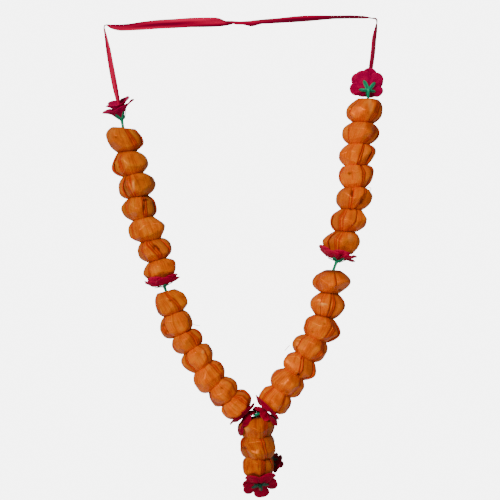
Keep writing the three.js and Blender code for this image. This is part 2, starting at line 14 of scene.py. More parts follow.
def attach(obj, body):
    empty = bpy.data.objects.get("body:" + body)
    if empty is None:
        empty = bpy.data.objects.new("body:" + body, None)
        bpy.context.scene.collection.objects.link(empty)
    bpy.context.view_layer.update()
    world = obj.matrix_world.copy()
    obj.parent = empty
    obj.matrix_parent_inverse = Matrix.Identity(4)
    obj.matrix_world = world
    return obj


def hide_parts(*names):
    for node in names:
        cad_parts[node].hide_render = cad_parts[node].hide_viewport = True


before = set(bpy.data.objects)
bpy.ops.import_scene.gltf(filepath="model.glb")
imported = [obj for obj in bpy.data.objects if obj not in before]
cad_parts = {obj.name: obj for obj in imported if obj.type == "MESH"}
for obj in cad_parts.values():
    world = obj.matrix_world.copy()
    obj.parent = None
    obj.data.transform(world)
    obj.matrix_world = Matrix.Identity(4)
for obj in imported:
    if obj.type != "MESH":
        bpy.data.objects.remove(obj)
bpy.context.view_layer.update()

bl_info = {
    "name": "Marigold garland",
    "version": (1, 0, 0),
    "blender": (4, 5, 0),
    "location": "View3D > Sidebar > Garland",
    "description": "Makes the looks of a garland of folded leaf beads and cloth flowers",
    "category": "Add Mesh",
}

MM = 0.001

# Beads
STRIPS = 7
CENTRE_HOLE = 2.2  # radius where the strips end round the cord
LEAF = 0.45  # thickness of a strip
FREE_EDGE = LEAF * 1.6  # how far a strip's free edge stands over the strip beside it
LAP = 0.7  # how far an outer strip bulges over the next bead
LAPPED_LEVEL = 1  # strips that stand out further than this lap over it
SKIN_RISE = 0.75  # how far the strips stand out of a bead's radius
CORE_DEPTH = 2.1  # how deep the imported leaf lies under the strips
PACKED_LEAF = 2.4  # how much thicker the strips under the outermost one are
DENT_DEPTH = 0.75  # soft hollows all over a strip
PLEAT_DEPTH = 0.5  # gathers at a bead's ends
FACET_SHARE = 1.0  # how much of the way a bead's skin goes to its flat faces
FACET_RINGS = ((5, 0.66), (5, -0.62), (5, 0.0))  # faces in a ring and their tilt in radians

# Strips: how far they stand out, how much more their middle does, and how many degrees they tuck under a
# neighbour. A rim starts some degrees inside the outermost strip's edge.
OUTER_LEVEL, OUTER_CROWN = 1.6, 1.0
SHALLOW_LEVEL, DEEP_LEVEL, INNER_CROWN = 0.2, -0.8, 0.7
TUCK = 12
RIM_START = 9
UNEVEN_WIDTH, SLANT, PITCH = 0.3, 28, 8  # how much strips differ in width, and strips and beads in tilt
STRIP_CREASE, RIM_CREASE = (3.6, 0.5), (2.6, 0.2)  # degrees over which a crease's painted shade fades, and how deep the crease dips
OUTER_COLUMNS, INNER_COLUMNS, RIM_COLUMNS = 25, 13, 9
STRIP_ROWS, CORE_ROWS = (4, 28), (2, 10)  # on the face round the hole, and down the side

# Each length of beads from the top down. A bead's row is the middle's x and z, the width, the lean in
# degrees (right side up), the left and right edge of the outermost strip in degrees to the right of the
# front, how far each edge slants in degrees from the top to the bottom, and the side on which it laps
# deepest (1 right, -1 left). The second row is its outline: where its left side is widest, as a share of
# the way down, and how full that side is (1.3 pointed, 3 square), the same two for its right side, and
# the radius at which it meets its neighbours above and below, as a share of its own.
LENGTHS = {
    "left_upper": ("left", 1, (-146, -133), (-96.5, -323.5), (
        ((-144, -148, 46, -4, -60, 25, 0, 30, 1), (0.36, 2.1, 0.42, 2.2, 0.66, 0.5)),
        ((-138, -177, 44.5, 15, -24, 70, 0, 0, -1), (0.6, 1.7, 0.5, 2.4, 0.54, 0.58)),
        ((-129.5, -205, 46.5, 12, -8, 62, 10, 0, -1), (0.6, 2.4, 0.5, 2.4, 0.56, 0.6)),
        ((-126, -232.5, 44, 10, -40, 17, 0, -12, 1), (0.5, 1.9, 0.55, 2.6, 0.56, 0.6)),
        ((-116, -259.5, 46, 16, -50, 59, 0, 0, 1), (0.6, 2.4, 0.55, 1.4, 0.6, 0.56)),
        ((-106.5, -286, 43, 10, -32, 0, 0, 34, 1), (0.5, 2.4, 0.36, 2.6, 0.62, 0.54)),
        ((-100.5, -309.5, 42.5, 18, -36, 60, 6, 0, -1), (0.45, 1.6, 0.38, 2.2, 0.56, 0.52)),
    )),
    "left_lower": ("left", 8, (-92.5, -336.5), (4.4, -487), (
        ((-86, -350, 42, 15, -49, 12, 6, 40, -1), (0.58, 2.7, 0.55, 2.7, 0.54, 0.62)),
        ((-80, -379, 42, 25, -35, 54, 6, 0, -1), (0.45, 2.8, 0.5, 2.6, 0.64, 0.66)),
        ((-65, -399, 39, 33, -60, 27, 0, 6, 1), (0.55, 2.4, 0.5, 2.3, 0.64, 0.66)),
        ((-53, -418, 42.5, 31, -34, 35, 0, 0, -1), (0.5, 2.4, 0.45, 2.4, 0.62, 0.66)),
        ((-38, -443, 42, 42, -70, 40, 0, 0, 1), (0.55, 2.8, 0.5, 2.4, 0.66, 0.66)),
        ((-21, -462.5, 41, 48, -42, 50, 8, 0, -1), (0.5, 2.4, 0.5, 2.4, 0.68, 0.68)),
        ((-4.5, -478, 41, 45, -47, 26, 4, 10, 1), (0.5, 2.5, 0.5, 2.3, 0.7, 0.58)),
    )),
    "right_upper": ("right", 1, (160, -96.5), (125, -290), (
        ((155.5, -111.5, 46, -3, -48, 30, 0, -18, 1), (0.48, 2.2, 0.48, 2.3, 0.56, 0.6)),
        ((151, -140, 46, -5, -48, 36, 0, -46, 1), (0.5, 2.2, 0.45, 2.3, 0.56, 0.6)),
        ((146, -166, 45, 3, -68, 8, 0, -22, 1), (0.5, 1.9, 0.5, 2.3, 0.6, 0.62)),
        ((145, -193, 42.5, 2, -62, 20, 0, 12, 1), (0.5, 2.4, 0.34, 2.8, 0.74, 0.64)),
        ((142, -220, 46, -2, -8, 24, 0, -30, 1), (0.48, 2.3, 0.5, 2.2, 0.58, 0.56)),
        ((136, -249, 46, -5, -20, 14, 8, -24, -1), (0.45, 2.2, 0.5, 2.4, 0.58, 0.56)),
        ((126.5, -275, 47, -2, -10, 58, 0, 0, -1), (0.46, 1.7, 0.46, 1.7, 0.54, 0.62)),
    )),
    "right_lower": ("right", 8, (116.5, -310.5), (36.2, -482.8), (
        ((114.5, -322.5, 48, -3, -43, 10, 0, 14, -1), (0.58, 1.9, 0.5, 1.6, 0.4, 0.54)),
        ((108.5, -354, 44, -8, -26, 9, 4, 0, 1), (0.5, 1.9, 0.5, 1.8, 0.5, 0.52)),
        ((102, -384, 46, -22, -55, 22, 0, -10, 1), (0.5, 2.2, 0.42, 1.8, 0.56, 0.62)),
        ((87, -407, 44, -25, -45, 32, 0, 0, 1), (0.5, 2.6, 0.5, 2.8, 0.64, 0.64)),
        ((75.5, -430, 42, -32, -70, -3, 0, 28, 1), (0.5, 2.6, 0.5, 1.7, 0.64, 0.66)),
        ((59.5, -450.5, 43, -33, -60, 35, 0, 0, 1), (0.5, 2.6, 0.5, 2.6, 0.66, 0.66)),
        ((43, -473, 42.5, -35, -40, 28, 0, 8, 1), (0.5, 2.6, 0.5, 2.6, 0.68, 0.58)),
    )),
    "pendant": ("pendant", 1, (22, -493.6), (23.7, -571), (
        ((22, -504.5, 44, 8, -48, 25, 0, 0, 1), (0.4, 2.9, 0.46, 2.6, 0.5, 0.78)),
        ((22, -530.5, 44, 0, -43, 19, 24, 20, -1), (0.5, 2.9, 0.5, 2.9, 0.8, 0.8)),
        ((23, -557, 39.5, 0, -60, 13, 0, -4, 1), (0.42, 2.8, 0.42, 2.8, 0.78, 0.56)),
    )),
}

# Marks in the leaf as it was folded, in millimetres of the garland's own plane: x, z, half width, half height, depth
# and how dark they are (below 0 for a pale crease). A dark one is a hole or tear coloured with painted shade; a pale
# one is a raised crease with a painted highlight. All are on the front.
MARKS = (
    (-153.3, -145.9, 1.9, 1.5, 1.1, 0.8), (-128.5, -145.6, 6.5, 8, 0.4, 0.34), (-157.3, -179.4, 1.7, 1.6, 1.6, 1),
    (-117.8, -222.9, 2.2, 2, 1.8, 1), (-118.4, -230.5, 1.5, 7, 1.4, 0.8), (-105.8, -281, 1.6, 4.4, 1.4, 0.8),
    (-85.9, -347.5, 2, 1.8, 1.4, 0.8), (-77.5, -334.6, 2.8, 1.5, 1, 0.8), (-71.5, -343.4, 1.2, 1.8, 1, 0.7),
    (-94, -378, 1.5, 1.3, 1.2, 0.8), (-90, -385.5, 1.6, 1.3, 1.2, 0.8), (-45.8, -411.3, 2, 2.4, -0.8, -0.5),
    (-26.9, -428.8, 1.4, 1.2, 0.8, 0.7), (-23.8, -433.8, 1.2, 1.2, 0.8, 0.7), (-22.9, -455.5, 1.6, 1.3, 1, 0.8),
    (135.5, -190.4, 1.9, 1.7, 1.6, 1), (137.5, -235, 2, 1.5, 1.2, 0.9), (150, -224, 1.4, 4, 1.4, 0.7),
    (123.3, -334.3, 2, 1.4, 1.6, 1), (104.5, -376, 1.6, 1.4, 1, 0.6), (90, -386, 1.4, 1.3, 1, 0.6),
    (72.3, -439.1, 1.9, 1.5, 1.4, 1), (58.5, -460.8, 1.6, 1.3, 1, 0.6), (6.3, -530.3, 1.7, 2, 1.4, 0.9),
    (-131, -206, 1.6, 7, -0.8, -0.5), (8, -507, 5, 3.4, -0.2, -0.35), (103, -352, 5, 1.3, -0.3, -0.8),
    (161, -107, 2.6, 9, -0.2, -0.3), (137, -270, 4, 5.5, -0.2, -0.3),
)
# Fibres that have come loose: how far from front to back they lie, and for each bead that has one its
# points across and up in millimetres.
FIBRE_DEPTH = -4
LOOSE_FIBRES = {
    "left_09": ((-61, -376.5), (-57, -378), (-53.5, -379.2), (-50, -379.4)),
    "right_12": ((56, -410.5), (58, -408.2), (60.2, -405.6), (62.1, -404)),
    "right_05": ((155, -210), (158, -207.2), (161, -206.4), (163.2, -207.8), (163.4, -210), (161.6, -211),
                 (160.4, -209.8)),
}
STRAND_SEEDS = {"left": 0, "right": 20, "pendant": 40}

# Flowers
LOBES = 5
CLOTH = 0.8  # thickness of the petals' solid, which the cloth lies in
SEPAL_SHARE, PETAL_SHARES = 0.4, (0.4, 0.72, 1)  # shares of a petal's length at which it bends
PETAL_PLACES = (0, 0.1, 0.44, 0.74, 1)  # where the throat, the root and the three bends come on the cloth
PETAL_ROWS, PETAL_COLUMNS = 14, 120
HUB_RADIUS = 2.6
UPPER_PETALS = 1.7  # how far the upper petals lie above the lower ones
NEAR_MARGINS, FAR_MARGIN = (CLOTH * 5, CLOTH * 3.9), CLOTH * 3.4  # what the cloth's middle keeps from beads
STEM_BORE = 1.15
STEM_RADIUS = 1.75
STEM_RINGS = (0.12, 0.3, 0.5, 0.7, 0.88, 0.97, 1)
CALYX_DEPTH = 2.6
CUP_RINGS = ((0.45, 2.75), (0.75, 2.45))  # share of the calyx's depth, and radius
SEPAL_WEB = 0.14  # how far the calyx reaches between two sepals, as a share of a sepal
SEPAL_DROP, SEPAL_THICKNESS, KEEL = 1.1, 0.5, 0.35
TOUCH_GAP = 0.3

# How far a lobe's cloth leaves its middle in millimetres. A flower that is clear of the beads twists more.
SAG, CURL, CUP, RIDGE, FRILL = 2.0, 1.5, 1.1, 0.25, 0.08
TWIST, FREE_TWIST = 1.0, 3.0

# Cords: how two plies wind, a point's step along them, and the knots
LAID = {"twist": 1.5, "plies": 2, "depth": 0.2}
CORD_STEP = 1.6
KNOT_CENTRE = (21.5, 0, -488.6)  # where the strands' cords and the pendant's meet
KNOT_RADIUS, END_KNOT_RADIUS = 2.3, 1.1

# Each flower: base, seat, foot of the stem, petals' length, lift of the lower and upper petals, sway, the
# side that it sways to, stretch, the side that it stretches to, the side of the first lobe, how far the
# upper petals are turned from the lower ones, and the beads to stay clear of.
FLOWERS = {
    "left_top": ((-148, 0, -120.5), (-148.5, 0, -116.5), (-146, 0, -133), 24.5, (42, 60), 14, 90, 0.25, 165,
                 -40, 40, ()),
    "right_top": ((160.2, -2.6, -84.5), (160.2, 0.64, -82.07), (160, 0, -96.5), 20, (15, 30), 0, 0, 0.22, -20,
                  -28, 36, ("right_01",)),
    "left_middle": ((-94.8, -1, -329.2), (-96.5, 0, -323.5), (-92.5, 0, -336.5), 20.5, (24, 30), 3, -90, 0.06,
                    -90, -62, 36, ("left_07", "left_08")),
    "right_middle": ((121.2, -1.4, -298.4), (125, 0, -290), (116.5, 0, -310.5), 22, (26, 34), 6, 90, 0, 0, -36,
                     36, ("right_07", "right_08")),
    "left_end": ((7, -1, -489.6), (4.4, 0, -487), (15, -0.8, -490.8), 17, (-40, 14), 16, 140, 0.34, -95, -10,
                 36, ("left_14", "pendant_01")),
    "right_end": ((32.5, -1.4, -485.4), (36.2, 0, -482.8), (17.8, -6, -491.4), 16.5, (-40, 14), 9, 150, 0.04,
                  90, -58, 36, ("right_14", "pendant_01")),
    "pendant_end": ((24.8, -6.6, -576.4), (23.8, 0, -571.2), (25, -12.6, -581.2), 19.4, (2, 12), 0, 0, 0.14,
                    180, -36, 8, ("pendant_03",)),
    "pendant_side": ((40, 14.6, -551.1), (42.7, 16.8, -553), (37.9, 11.2, -545.2), 12.5, (30, 50), 0, 0, 0, 0,
                     10, 36, ("pendant_02", "pendant_03")),
}
FLOWER_SHAPE = ("petals", "lift", "sway", "sway_to", "stretch", "stretch_to", "lobe", "turn")
# Where a flower differs: how much painted shade darkens its red (and its calyx), how cool its red is, and how far its
# cloth reaches between two lobes.
PAINTED_SHADE_ON_CLOTH = {"left_top": 0.4, "left_end": 0.7, "right_end": 0.35, "pendant_end": 0.55, "pendant_side": 1.0}
COOLER_CLOTH = {"left_top": 1.0, "right_top": 1.0, "left_middle": 0.35, "right_middle": 0.25}
WEBS = {"left_top": 0.85, "left_end": 0.75, "right_end": 0.75}

# Ends of the strands' cords, from the last stem into the knot
TAILS = {
    "left": ((18.9, 0, -489.5),),
    "right": ((16.7, -5.95, -491.4), (16.2, -5.4, -489.8), (17.4, -4.4, -488.3), (19.6, -3.3, -487.8)),
}

# Ribbon: x, z, turn of its width in degrees, and where they differ from 0 and the full width, y and width
RIBBON_WIDTH = 12
RIBBON_STEP, RIBBON_COLUMNS = 1.8, 17
TOP_RUN = -8  # the ribbon runs across above this height and hangs down below it
TOP_SAG = 4.5  # how far its front edge droops at the hanging point
RIBBON_WAVES = ((0.55, 2.6, 37, 0), (0.3, 5.2, -23, 1))  # height, waves across, length along, start
RIBBON_ROUTE = (
    (-148.8, -114.6, 10, 0, 3.4), (-149.4, -111, 16, 0, 5), (-151, -104, 24, 0, 10), (-153, -95, 30),
    (-156, -80, 37), (-159.7, -60, 38), (-164, -36, 34), (-167.6, -18, 20), (-169.6, -9, 8),
    (-170.3, -5.5, 0), (-169.4, -3.4, 0), (-166.5, -3.6, 8), (-160, -5.6, 34), (-150, -6.8, 46),
    (-137.5, -6, 50), (-119, -4.2, 66), (-100, -2.6, 76), (-81, -1.8, 84), (-62, -0.6, 92),
    (-44, -0.3, 106), (-25, 0, 128), (-13, 0.3, 152), (-5, 0.4, 180), (5, 0.4, 180), (14, 0.6, 200),
    (31, 1, 213), (50, 2.2, 216), (69, 3.6, 224), (84, 4.4, 226), (100, 5, 219), (119, 5.5, 210),
    (138, 5.8, 210), (156, 5.5, 205), (166, 4.8, 190), (170.3, 4.6, 180), (171.4, 2.8, 180),
    (171.2, -1.5, 190), (170.2, -8, 200), (168, -20, 212, 1), (167.2, -34, 214, 3), (166, -46, 214, 5),
    (164.4, -58, 212, 7), (162.9, -66, 208, 7.4, 11), (161.8, -72, 200, 6.6, 9), (161, -77.5, 190, 4.6, 6),
    (160.6, -81.2, 180, 2.3, 3),
)

# View and light
PIXEL = 1.25  # millimetres in the garland's plane for one pixel of the frame
FRAME_PIXELS = 500
VIEW_CENTRE = (12.5, 0, -285)
VIEW_DISTANCE = 1.8
SENSOR = 36
SHOWN_WHITE = 6.0  # how strong the studio's white looks to the camera
FLOOR_RADII = (0.0004, 1.6)  # metres; the inner one is small enough for no hole to show
# Each light's name, place in metres, diameter, share of the key light's power, and colour
LIGHTS = (
    ("key", (-0.85, -1.55, 0.55), 0.5, 1.0, (1, 0.985, 0.96)),
    ("fill", (1.2, -1.7, -0.35), 1.0, 0.14, (0.96, 0.98, 1)),
    ("back", (-0.7, 1.7, 0.6), 1.2, 0.4, (0.98, 0.99, 1)),
)


def draw(seed, index):
    """A repeatable draw from 0 to 1 for any two whole numbers."""
    wave = math.sin(seed * 12.9898 + index * 78.233) * 43758.5453
    return wave - math.floor(wave)


def linear(colour):
    """A colour written as sRGB hex, as linear values. Linear values stay as they are."""
    if not isinstance(colour, str):
        return colour
    values = [int(colour[i:i + 2], 16) / 255 for i in (1, 3, 5)]
    return [v / 12.92 if v <= 0.04045 else ((v + 0.055) / 1.055) ** 2.4 for v in values] + [1.0]


def unit(vector):
    """The same direction with a length of 1."""
    return vector / np.linalg.norm(vector)


def array(*values):
    """A point or a direction from its numbers."""
    return np.array(values, float)


def smooth(low, high, value):
    """A share that rises softly from 0 to 1 as the value goes from low to high."""
    share = np.clip((value - low) / (high - low), 0, 1)
    return share * share * (3 - 2 * share)


def circle(count):
    """Evenly spaced angles all the way round."""
    return np.linspace(0, math.tau, count, endpoint=False)


def spread(rows, columns):
    """One value for each row, the same in every column."""
    return np.repeat(np.asarray(rows)[:, None], columns, 1)


def flat_grid(width, columns, length, rows):
    """Flat places in millimetres for a plain grid of points."""
    return np.stack(np.meshgrid(np.linspace(0, width, columns), np.linspace(0, length, rows)), -1)


def sampled(rows, at, places):
    """Rows that stand at some places, read off at others."""
    return np.stack([np.interp(places, at, column) for column in rows.T], -1)


def evened(rows, step):
    """The same line with a row every step of its x, y and z, and how far along each row is."""
    rows = np.array(rows, float)
    lengths = np.concatenate([[0], np.cumsum(np.linalg.norm(np.diff(rows[:, :3], axis=0), axis=1))])
    places = np.linspace(0, lengths[-1], max(int(lengths[-1] / step), 2))
    return sampled(rows, lengths, places), places


def soften(rows):
    """Evens out the rows between the first and the last."""
    for _ in range(2):
        rows[1:-1] = (rows[:-2] + 2 * rows[1:-1] + rows[2:]) / 4


def ripples(seed, across, along, waves):
    """A smooth uneven surface between about -1 and 1, from a few crossed waves."""
    total = 0
    for k in range(waves):
        turn = math.tau * draw(seed, 300 + k)
        stretch = 0.6 + 1.2 * draw(seed, 320 + k)
        tilt = 2 * draw(seed, 340 + k) - 1
        total = total + np.sin(stretch * (across + tilt * along) * (1 + 0.6 * k) + turn) / (1 + 0.5 * k)
    return total / 2


# Meshes

class Builder:
    """Collects grids of points into one mesh with named values on its points and one flat map."""

    def __init__(self, names):
        self.points = []
        self.faces = []
        self.flat = []
        self.values = {name: [] for name in names}
        self.count = 0

    def grid(self, points, flat, values, around=False):
        """Adds rows x columns of points as one skin, closed across its columns if it goes around."""
        rows, columns = points.shape[:2]
        start = self.count
        self.points.append(points.reshape(-1, 3))
        self.flat.append(flat.reshape(-1, 2))
        for name, held in self.values.items():
            held.append(np.broadcast_to(values.get(name, 0.0), (rows, columns)).reshape(-1))
        self.count += rows * columns
        wide = columns if around else columns - 1
        for i in range(rows - 1):
            for j in range(wide):
                k = (j + 1) % columns
                a = start + i * columns
                self.faces.append((a + j, a + k, a + columns + k, a + columns + j))
        return start

    def sheet(self, outer, inner, flat, values):
        """Adds a thin closed sheet: an outer skin, an inner skin and a rim that joins them."""
        rows, columns = outer.shape[:2]
        top = self.grid(outer, flat, values)
        count = len(self.faces)
        low = self.grid(inner, flat, values)
        self.faces[count:] = [face[::-1] for face in self.faces[count:]]
        rim = list(range(columns))
        rim += [i * columns + columns - 1 for i in range(1, rows)]
        rim += [(rows - 1) * columns + j for j in range(columns - 2, -1, -1)]
        rim += [i * columns for i in range(rows - 2, 0, -1)]
        for a, b in zip(rim, rim[1:] + rim[:1]):
            self.faces.append((top + b, top + a, low + a, low + b))

    def make(self, name, material, scale=MM):
        """Makes the piece from what was collected."""
        mesh = bpy.data.meshes.new(name)
        points = np.concatenate(self.points) * scale
        mesh.from_pydata(points.tolist(), [], self.faces)
        for label, held in self.values.items():
            layer = mesh.attributes.new(label, "FLOAT", "POINT")
            layer.data.foreach_set("value", np.concatenate(held).astype(np.float32))
        uv = mesh.uv_layers.new(name="flat")
        loops = np.zeros(len(mesh.loops), np.int32)
        mesh.loops.foreach_get("vertex_index", loops)
        uv.data.foreach_set("uv", np.concatenate(self.flat)[loops].astype(np.float32).ravel())
        mesh.polygons.foreach_set("use_smooth", [True] * len(mesh.polygons))
        mesh.update()
        piece = bpy.data.objects.new(name, mesh)
        bpy.context.scene.collection.objects.link(piece)
        mesh.materials.append(material)
        return piece


def place(piece, node):
    """Sets what a piece rides on and the solid that it stands in for."""
    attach(piece, "root")
    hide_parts(node)


def tube(points, radii, sides, twist=0.0, plies=0, depth=0.0):
    """Rings of points round a line, with plies that wind along it."""
    points = np.array(points, float)
    radii = np.broadcast_to(radii, len(points))
    rings = []
    side = None
    travelled = 0.0
    for i, point in enumerate(points):
        way = unit(points[min(i + 1, len(points) - 1)] - points[max(i - 1, 0)])
        if side is None:
            side = array(0, 1, 0) if abs(way[1]) < 0.9 else array(1, 0, 0)
        side = unit(side - way * side.dot(way))
        other = np.cross(way, side)
        if i:
            travelled += np.linalg.norm(point - points[i - 1])
        angles = circle(sides)
        radius = radii[i] * (1 - depth * np.abs(np.cos(plies * angles / 2 + twist * travelled)))
        rings.append(point + np.outer(radius * np.cos(angles), side) + np.outer(radius * np.sin(angles), other))
    return np.array(rings)


# Beads

def describe_bead(strand, number, row):
    """A bead's own frame, its outline and its outermost strip, from its row in the table."""
    (x, z, width, lean, left, right, left_slant, right_slant, deep), outline = row
    seed = number + STRAND_SEEDS[strand]
    lean = math.radians(lean)
    pitch = math.radians((draw(seed, 1) - 0.5) * PITCH)
    across = array(math.cos(lean), 0, math.sin(lean))
    up = array(-across[2], 0, across[0])
    up = np.array(Quaternion(Vector(across), pitch) @ Vector(up))
    return SimpleNamespace(
        name=f"{strand}_{number:02d}", seed=seed, centre=array(x, 0, z), radius=width / 2 - SKIN_RISE,
        right=across, up=up, back=np.cross(up, across), edges=(left, right), slants=(left_slant, right_slant),
        deep=deep, outline=outline)


def string_beads(strand, first, top, bottom, rows):
    """Each bead of a length with the point and plane of the joint above it and below it."""
    beads = [describe_bead(strand, first + i, row) for i, row in enumerate(rows)]
    joints = [(array(top[0], 0, top[1]), beads[0].up)]
    for upper, lower in zip(beads, beads[1:]):
        joints.append(((upper.centre + lower.centre) / 2, unit(upper.up + lower.up)))
    joints.append((array(bottom[0], 0, bottom[1]), beads[-1].up))
    for i, bead in enumerate(beads):
        bead.top, bead.bottom = joints[i], joints[i + 1]
        bead.bulge = bead.centre - (joints[i][0] + joints[i + 1][0]) / 2
    return beads


def bead_radius(bead, share, angle, shift=0.0):
    """How wide the bead is, as a share of its radius, at a share of the way down and an angle."""
    left_widest, left_full, right_widest, right_full, top, bottom = bead.outline
    side = (1 + np.sin(angle)) / 2
    widest = left_widest + (right_widest - left_widest) * side + shift
    full = left_full + (right_full - left_full) * side
    above = share < widest
    away = np.clip(np.where(above, (widest - share) / widest, (share - widest) / (1 - widest)), 0, 1)
    end = np.where(above, top, bottom)
    return end + (1 - end) * (1 - away ** full)


def bead_axis(bead, share):
    """The middle of the bead at a share of the way down, bulged to one side between its joints."""
    share = np.asarray(share)[..., None]
    start, end = bead.top[0], bead.bottom[0]
    return start + (end - start) * share + bead.bulge * 4 * share * (1 - share)


def bead_point(bead, share, angle, radius):
    """A point of the bead, tilted near its ends so that its faces lie in the joints' planes."""
    share = np.asarray(share)
    angle, radius = np.asarray(angle)[..., None], np.asarray(radius)[..., None]
    point = bead_axis(bead, share) + bead.right * radius * np.sin(angle) - bead.back * radius * np.cos(angle)
    for (spot, normal), weight in ((bead.top, (1 - share) ** 2), (bead.bottom, share ** 2)):
        rise = ((spot - point) @ normal) / normal.dot(bead.up)
        along = ((spot - bead_axis(bead, share)) @ normal) / normal.dot(bead.up)
        point = point + bead.up * ((rise - along) * weight)[..., None]
    return point


def facet_planes(bead):
    """Directions and distances of the flat faces that a bead was pressed into, on a ball of radius 1."""
    seed = bead.seed
    planes = []
    for row, (count, tilt) in enumerate(FACET_RINGS):
        for i in range(count):
            around = math.tau * (i + 0.8 * draw(seed, 60 + 10 * row + i)) / count
            pitch = tilt + 0.5 * (draw(seed, 90 + 10 * row + i) - 0.5)
            flat = math.cos(pitch)
            planes.append((math.sin(around) * flat, math.cos(around) * flat, math.sin(pitch),
                           0.93 + 0.09 * draw(seed, 120 + 10 * row + i)))
    return np.array(planes)


def pressed(bead, skin):
    """How far each point of a strip moves out or in, in millimetres, to lie on the bead's flat faces."""
    away = skin - bead.centre
    half = np.linalg.norm(bead.top[0] - bead.bottom[0]) / 2 + 3
    ball = np.stack([away @ bead.right / bead.radius, -(away @ bead.back) / bead.radius,
                     away @ bead.up / half], -1)
    ball /= np.linalg.norm(ball, axis=-1, keepdims=True)
    planes = facet_planes(bead)
    facing = np.clip(ball @ planes[:, :3].T, 0.05, 1)
    reach = np.clip(np.min(planes[:, 3] / facing, -1), 0.9, 1.2)
    front = smooth(0.05, 0.75, np.abs(ball[..., 1]))
    press = bpy.context.scene.garland_sizes.press
    return press * bead.radius * (reach - 1.03) * (0.15 + 0.85 * front)


def strip_layout(bead):
    """The strips round a bead, outermost first, then the rims beside the outermost strip's edges.

    Edges and slants are in degrees and heights in millimetres. A tuck is how far a strip goes on under its
    neighbour, and a cover is how much further the neighbour's rims reach.
    """
    left, right = bead.edges
    rest = (360 - (right - left)) / (STRIPS - 1)
    seed = bead.seed
    strips = [SimpleNamespace(left=left, right=right, slants=bead.slants, level=OUTER_LEVEL, crown=OUTER_CROWN)]
    edge, slant = right, bead.slants[1]
    for k in range(1, STRIPS):
        last = k == STRIPS - 1
        deep = k % 2 == 1 if bead.deep > 0 else k % 2 == 0
        next_edge = left + 360 if last else edge + rest * (1 + UNEVEN_WIDTH * (draw(seed, 10 + k) - 0.5))
        next_slant = bead.slants[0] if last else SLANT * (draw(seed, 20 + k) - 0.5)
        strips.append(SimpleNamespace(left=edge, right=next_edge, slants=(slant, next_slant),
                                      level=DEEP_LEVEL if deep else SHALLOW_LEVEL, crown=INNER_CROWN))
        edge, slant = next_edge, next_slant
    for k, strip in enumerate(strips):
        others = [strips[k - 1].level, strips[(k + 1) % STRIPS].level]
        strip.tucks = [TUCK if other > strip.level else 0 for other in others]
        strip.edges = [min(other, strip.level) + FREE_EDGE for other in others]
        strip.covers, strip.crease = [0, 0], STRIP_CREASE
        strip.packed, strip.columns = (PACKED_LEAF, INNER_COLUMNS) if k else (0, OUTER_COLUMNS)
    outer, beside = strips[0], (strips[-1], strips[1])
    counts = [1 + (draw(seed, 30) < 0.55), int(draw(seed, 31) < 0.6)][::-bead.deep]
    for s in (0, 1):
        reached = 0
        for n in range(counts[s]):
            shown = 6 + 3.5 * draw(seed, 32 + 4 * n + s)
            reached += shown
            out = (left - reached, right + reached)[s]
            inner = (left + RIM_START, right - RIM_START)[s]
            edges = [outer.edges[s] + LEAF * (counts[s] - 1 - n)] * 2
            strips.append(SimpleNamespace(
                left=min(out, inner), right=max(out, inner), slants=(outer.slants[s],) * 2, level=edges[0], crown=0,
                tucks=[0, 0.01][::1 - 2 * s], edges=edges, covers=[0, reached - shown + RIM_START][::1 - 2 * s],
                crease=RIM_CREASE, packed=0, columns=RIM_COLUMNS))
        outer.edges[s] += LEAF * counts[s]
        beside[s].covers[1 - s] = reached
    return strips


def bead_rows(face, side):
    """Shares of the way down and of the way out from the hole, for the rows of a strip."""
    out = np.linspace(0, 1, face + 1)[:-1]
    down = (1 - np.cos(np.linspace(0, math.pi, side))) / 2
    shares = np.concatenate([np.zeros(face), down, np.ones(face)])
    reach = np.concatenate([out, np.ones(side), out[::-1]])
    return shares, reach


def marked(points, front):
    """Depth, and the painted shade in holes and painted highlight on creases, that the marks give to points on the
    front.
    """
    depth, dark = 0.0, 0.0
    for x, z, wide, high, sunk, tint in MARKS:
        away = ((points[..., 0] - x) / wide) ** 2 + ((points[..., 2] - z) / high) ** 2
        depth = depth + sunk * np.exp(-away ** 1.5) * front
        dark = dark + tint * np.exp(-away ** 2) * front
    return depth, dark


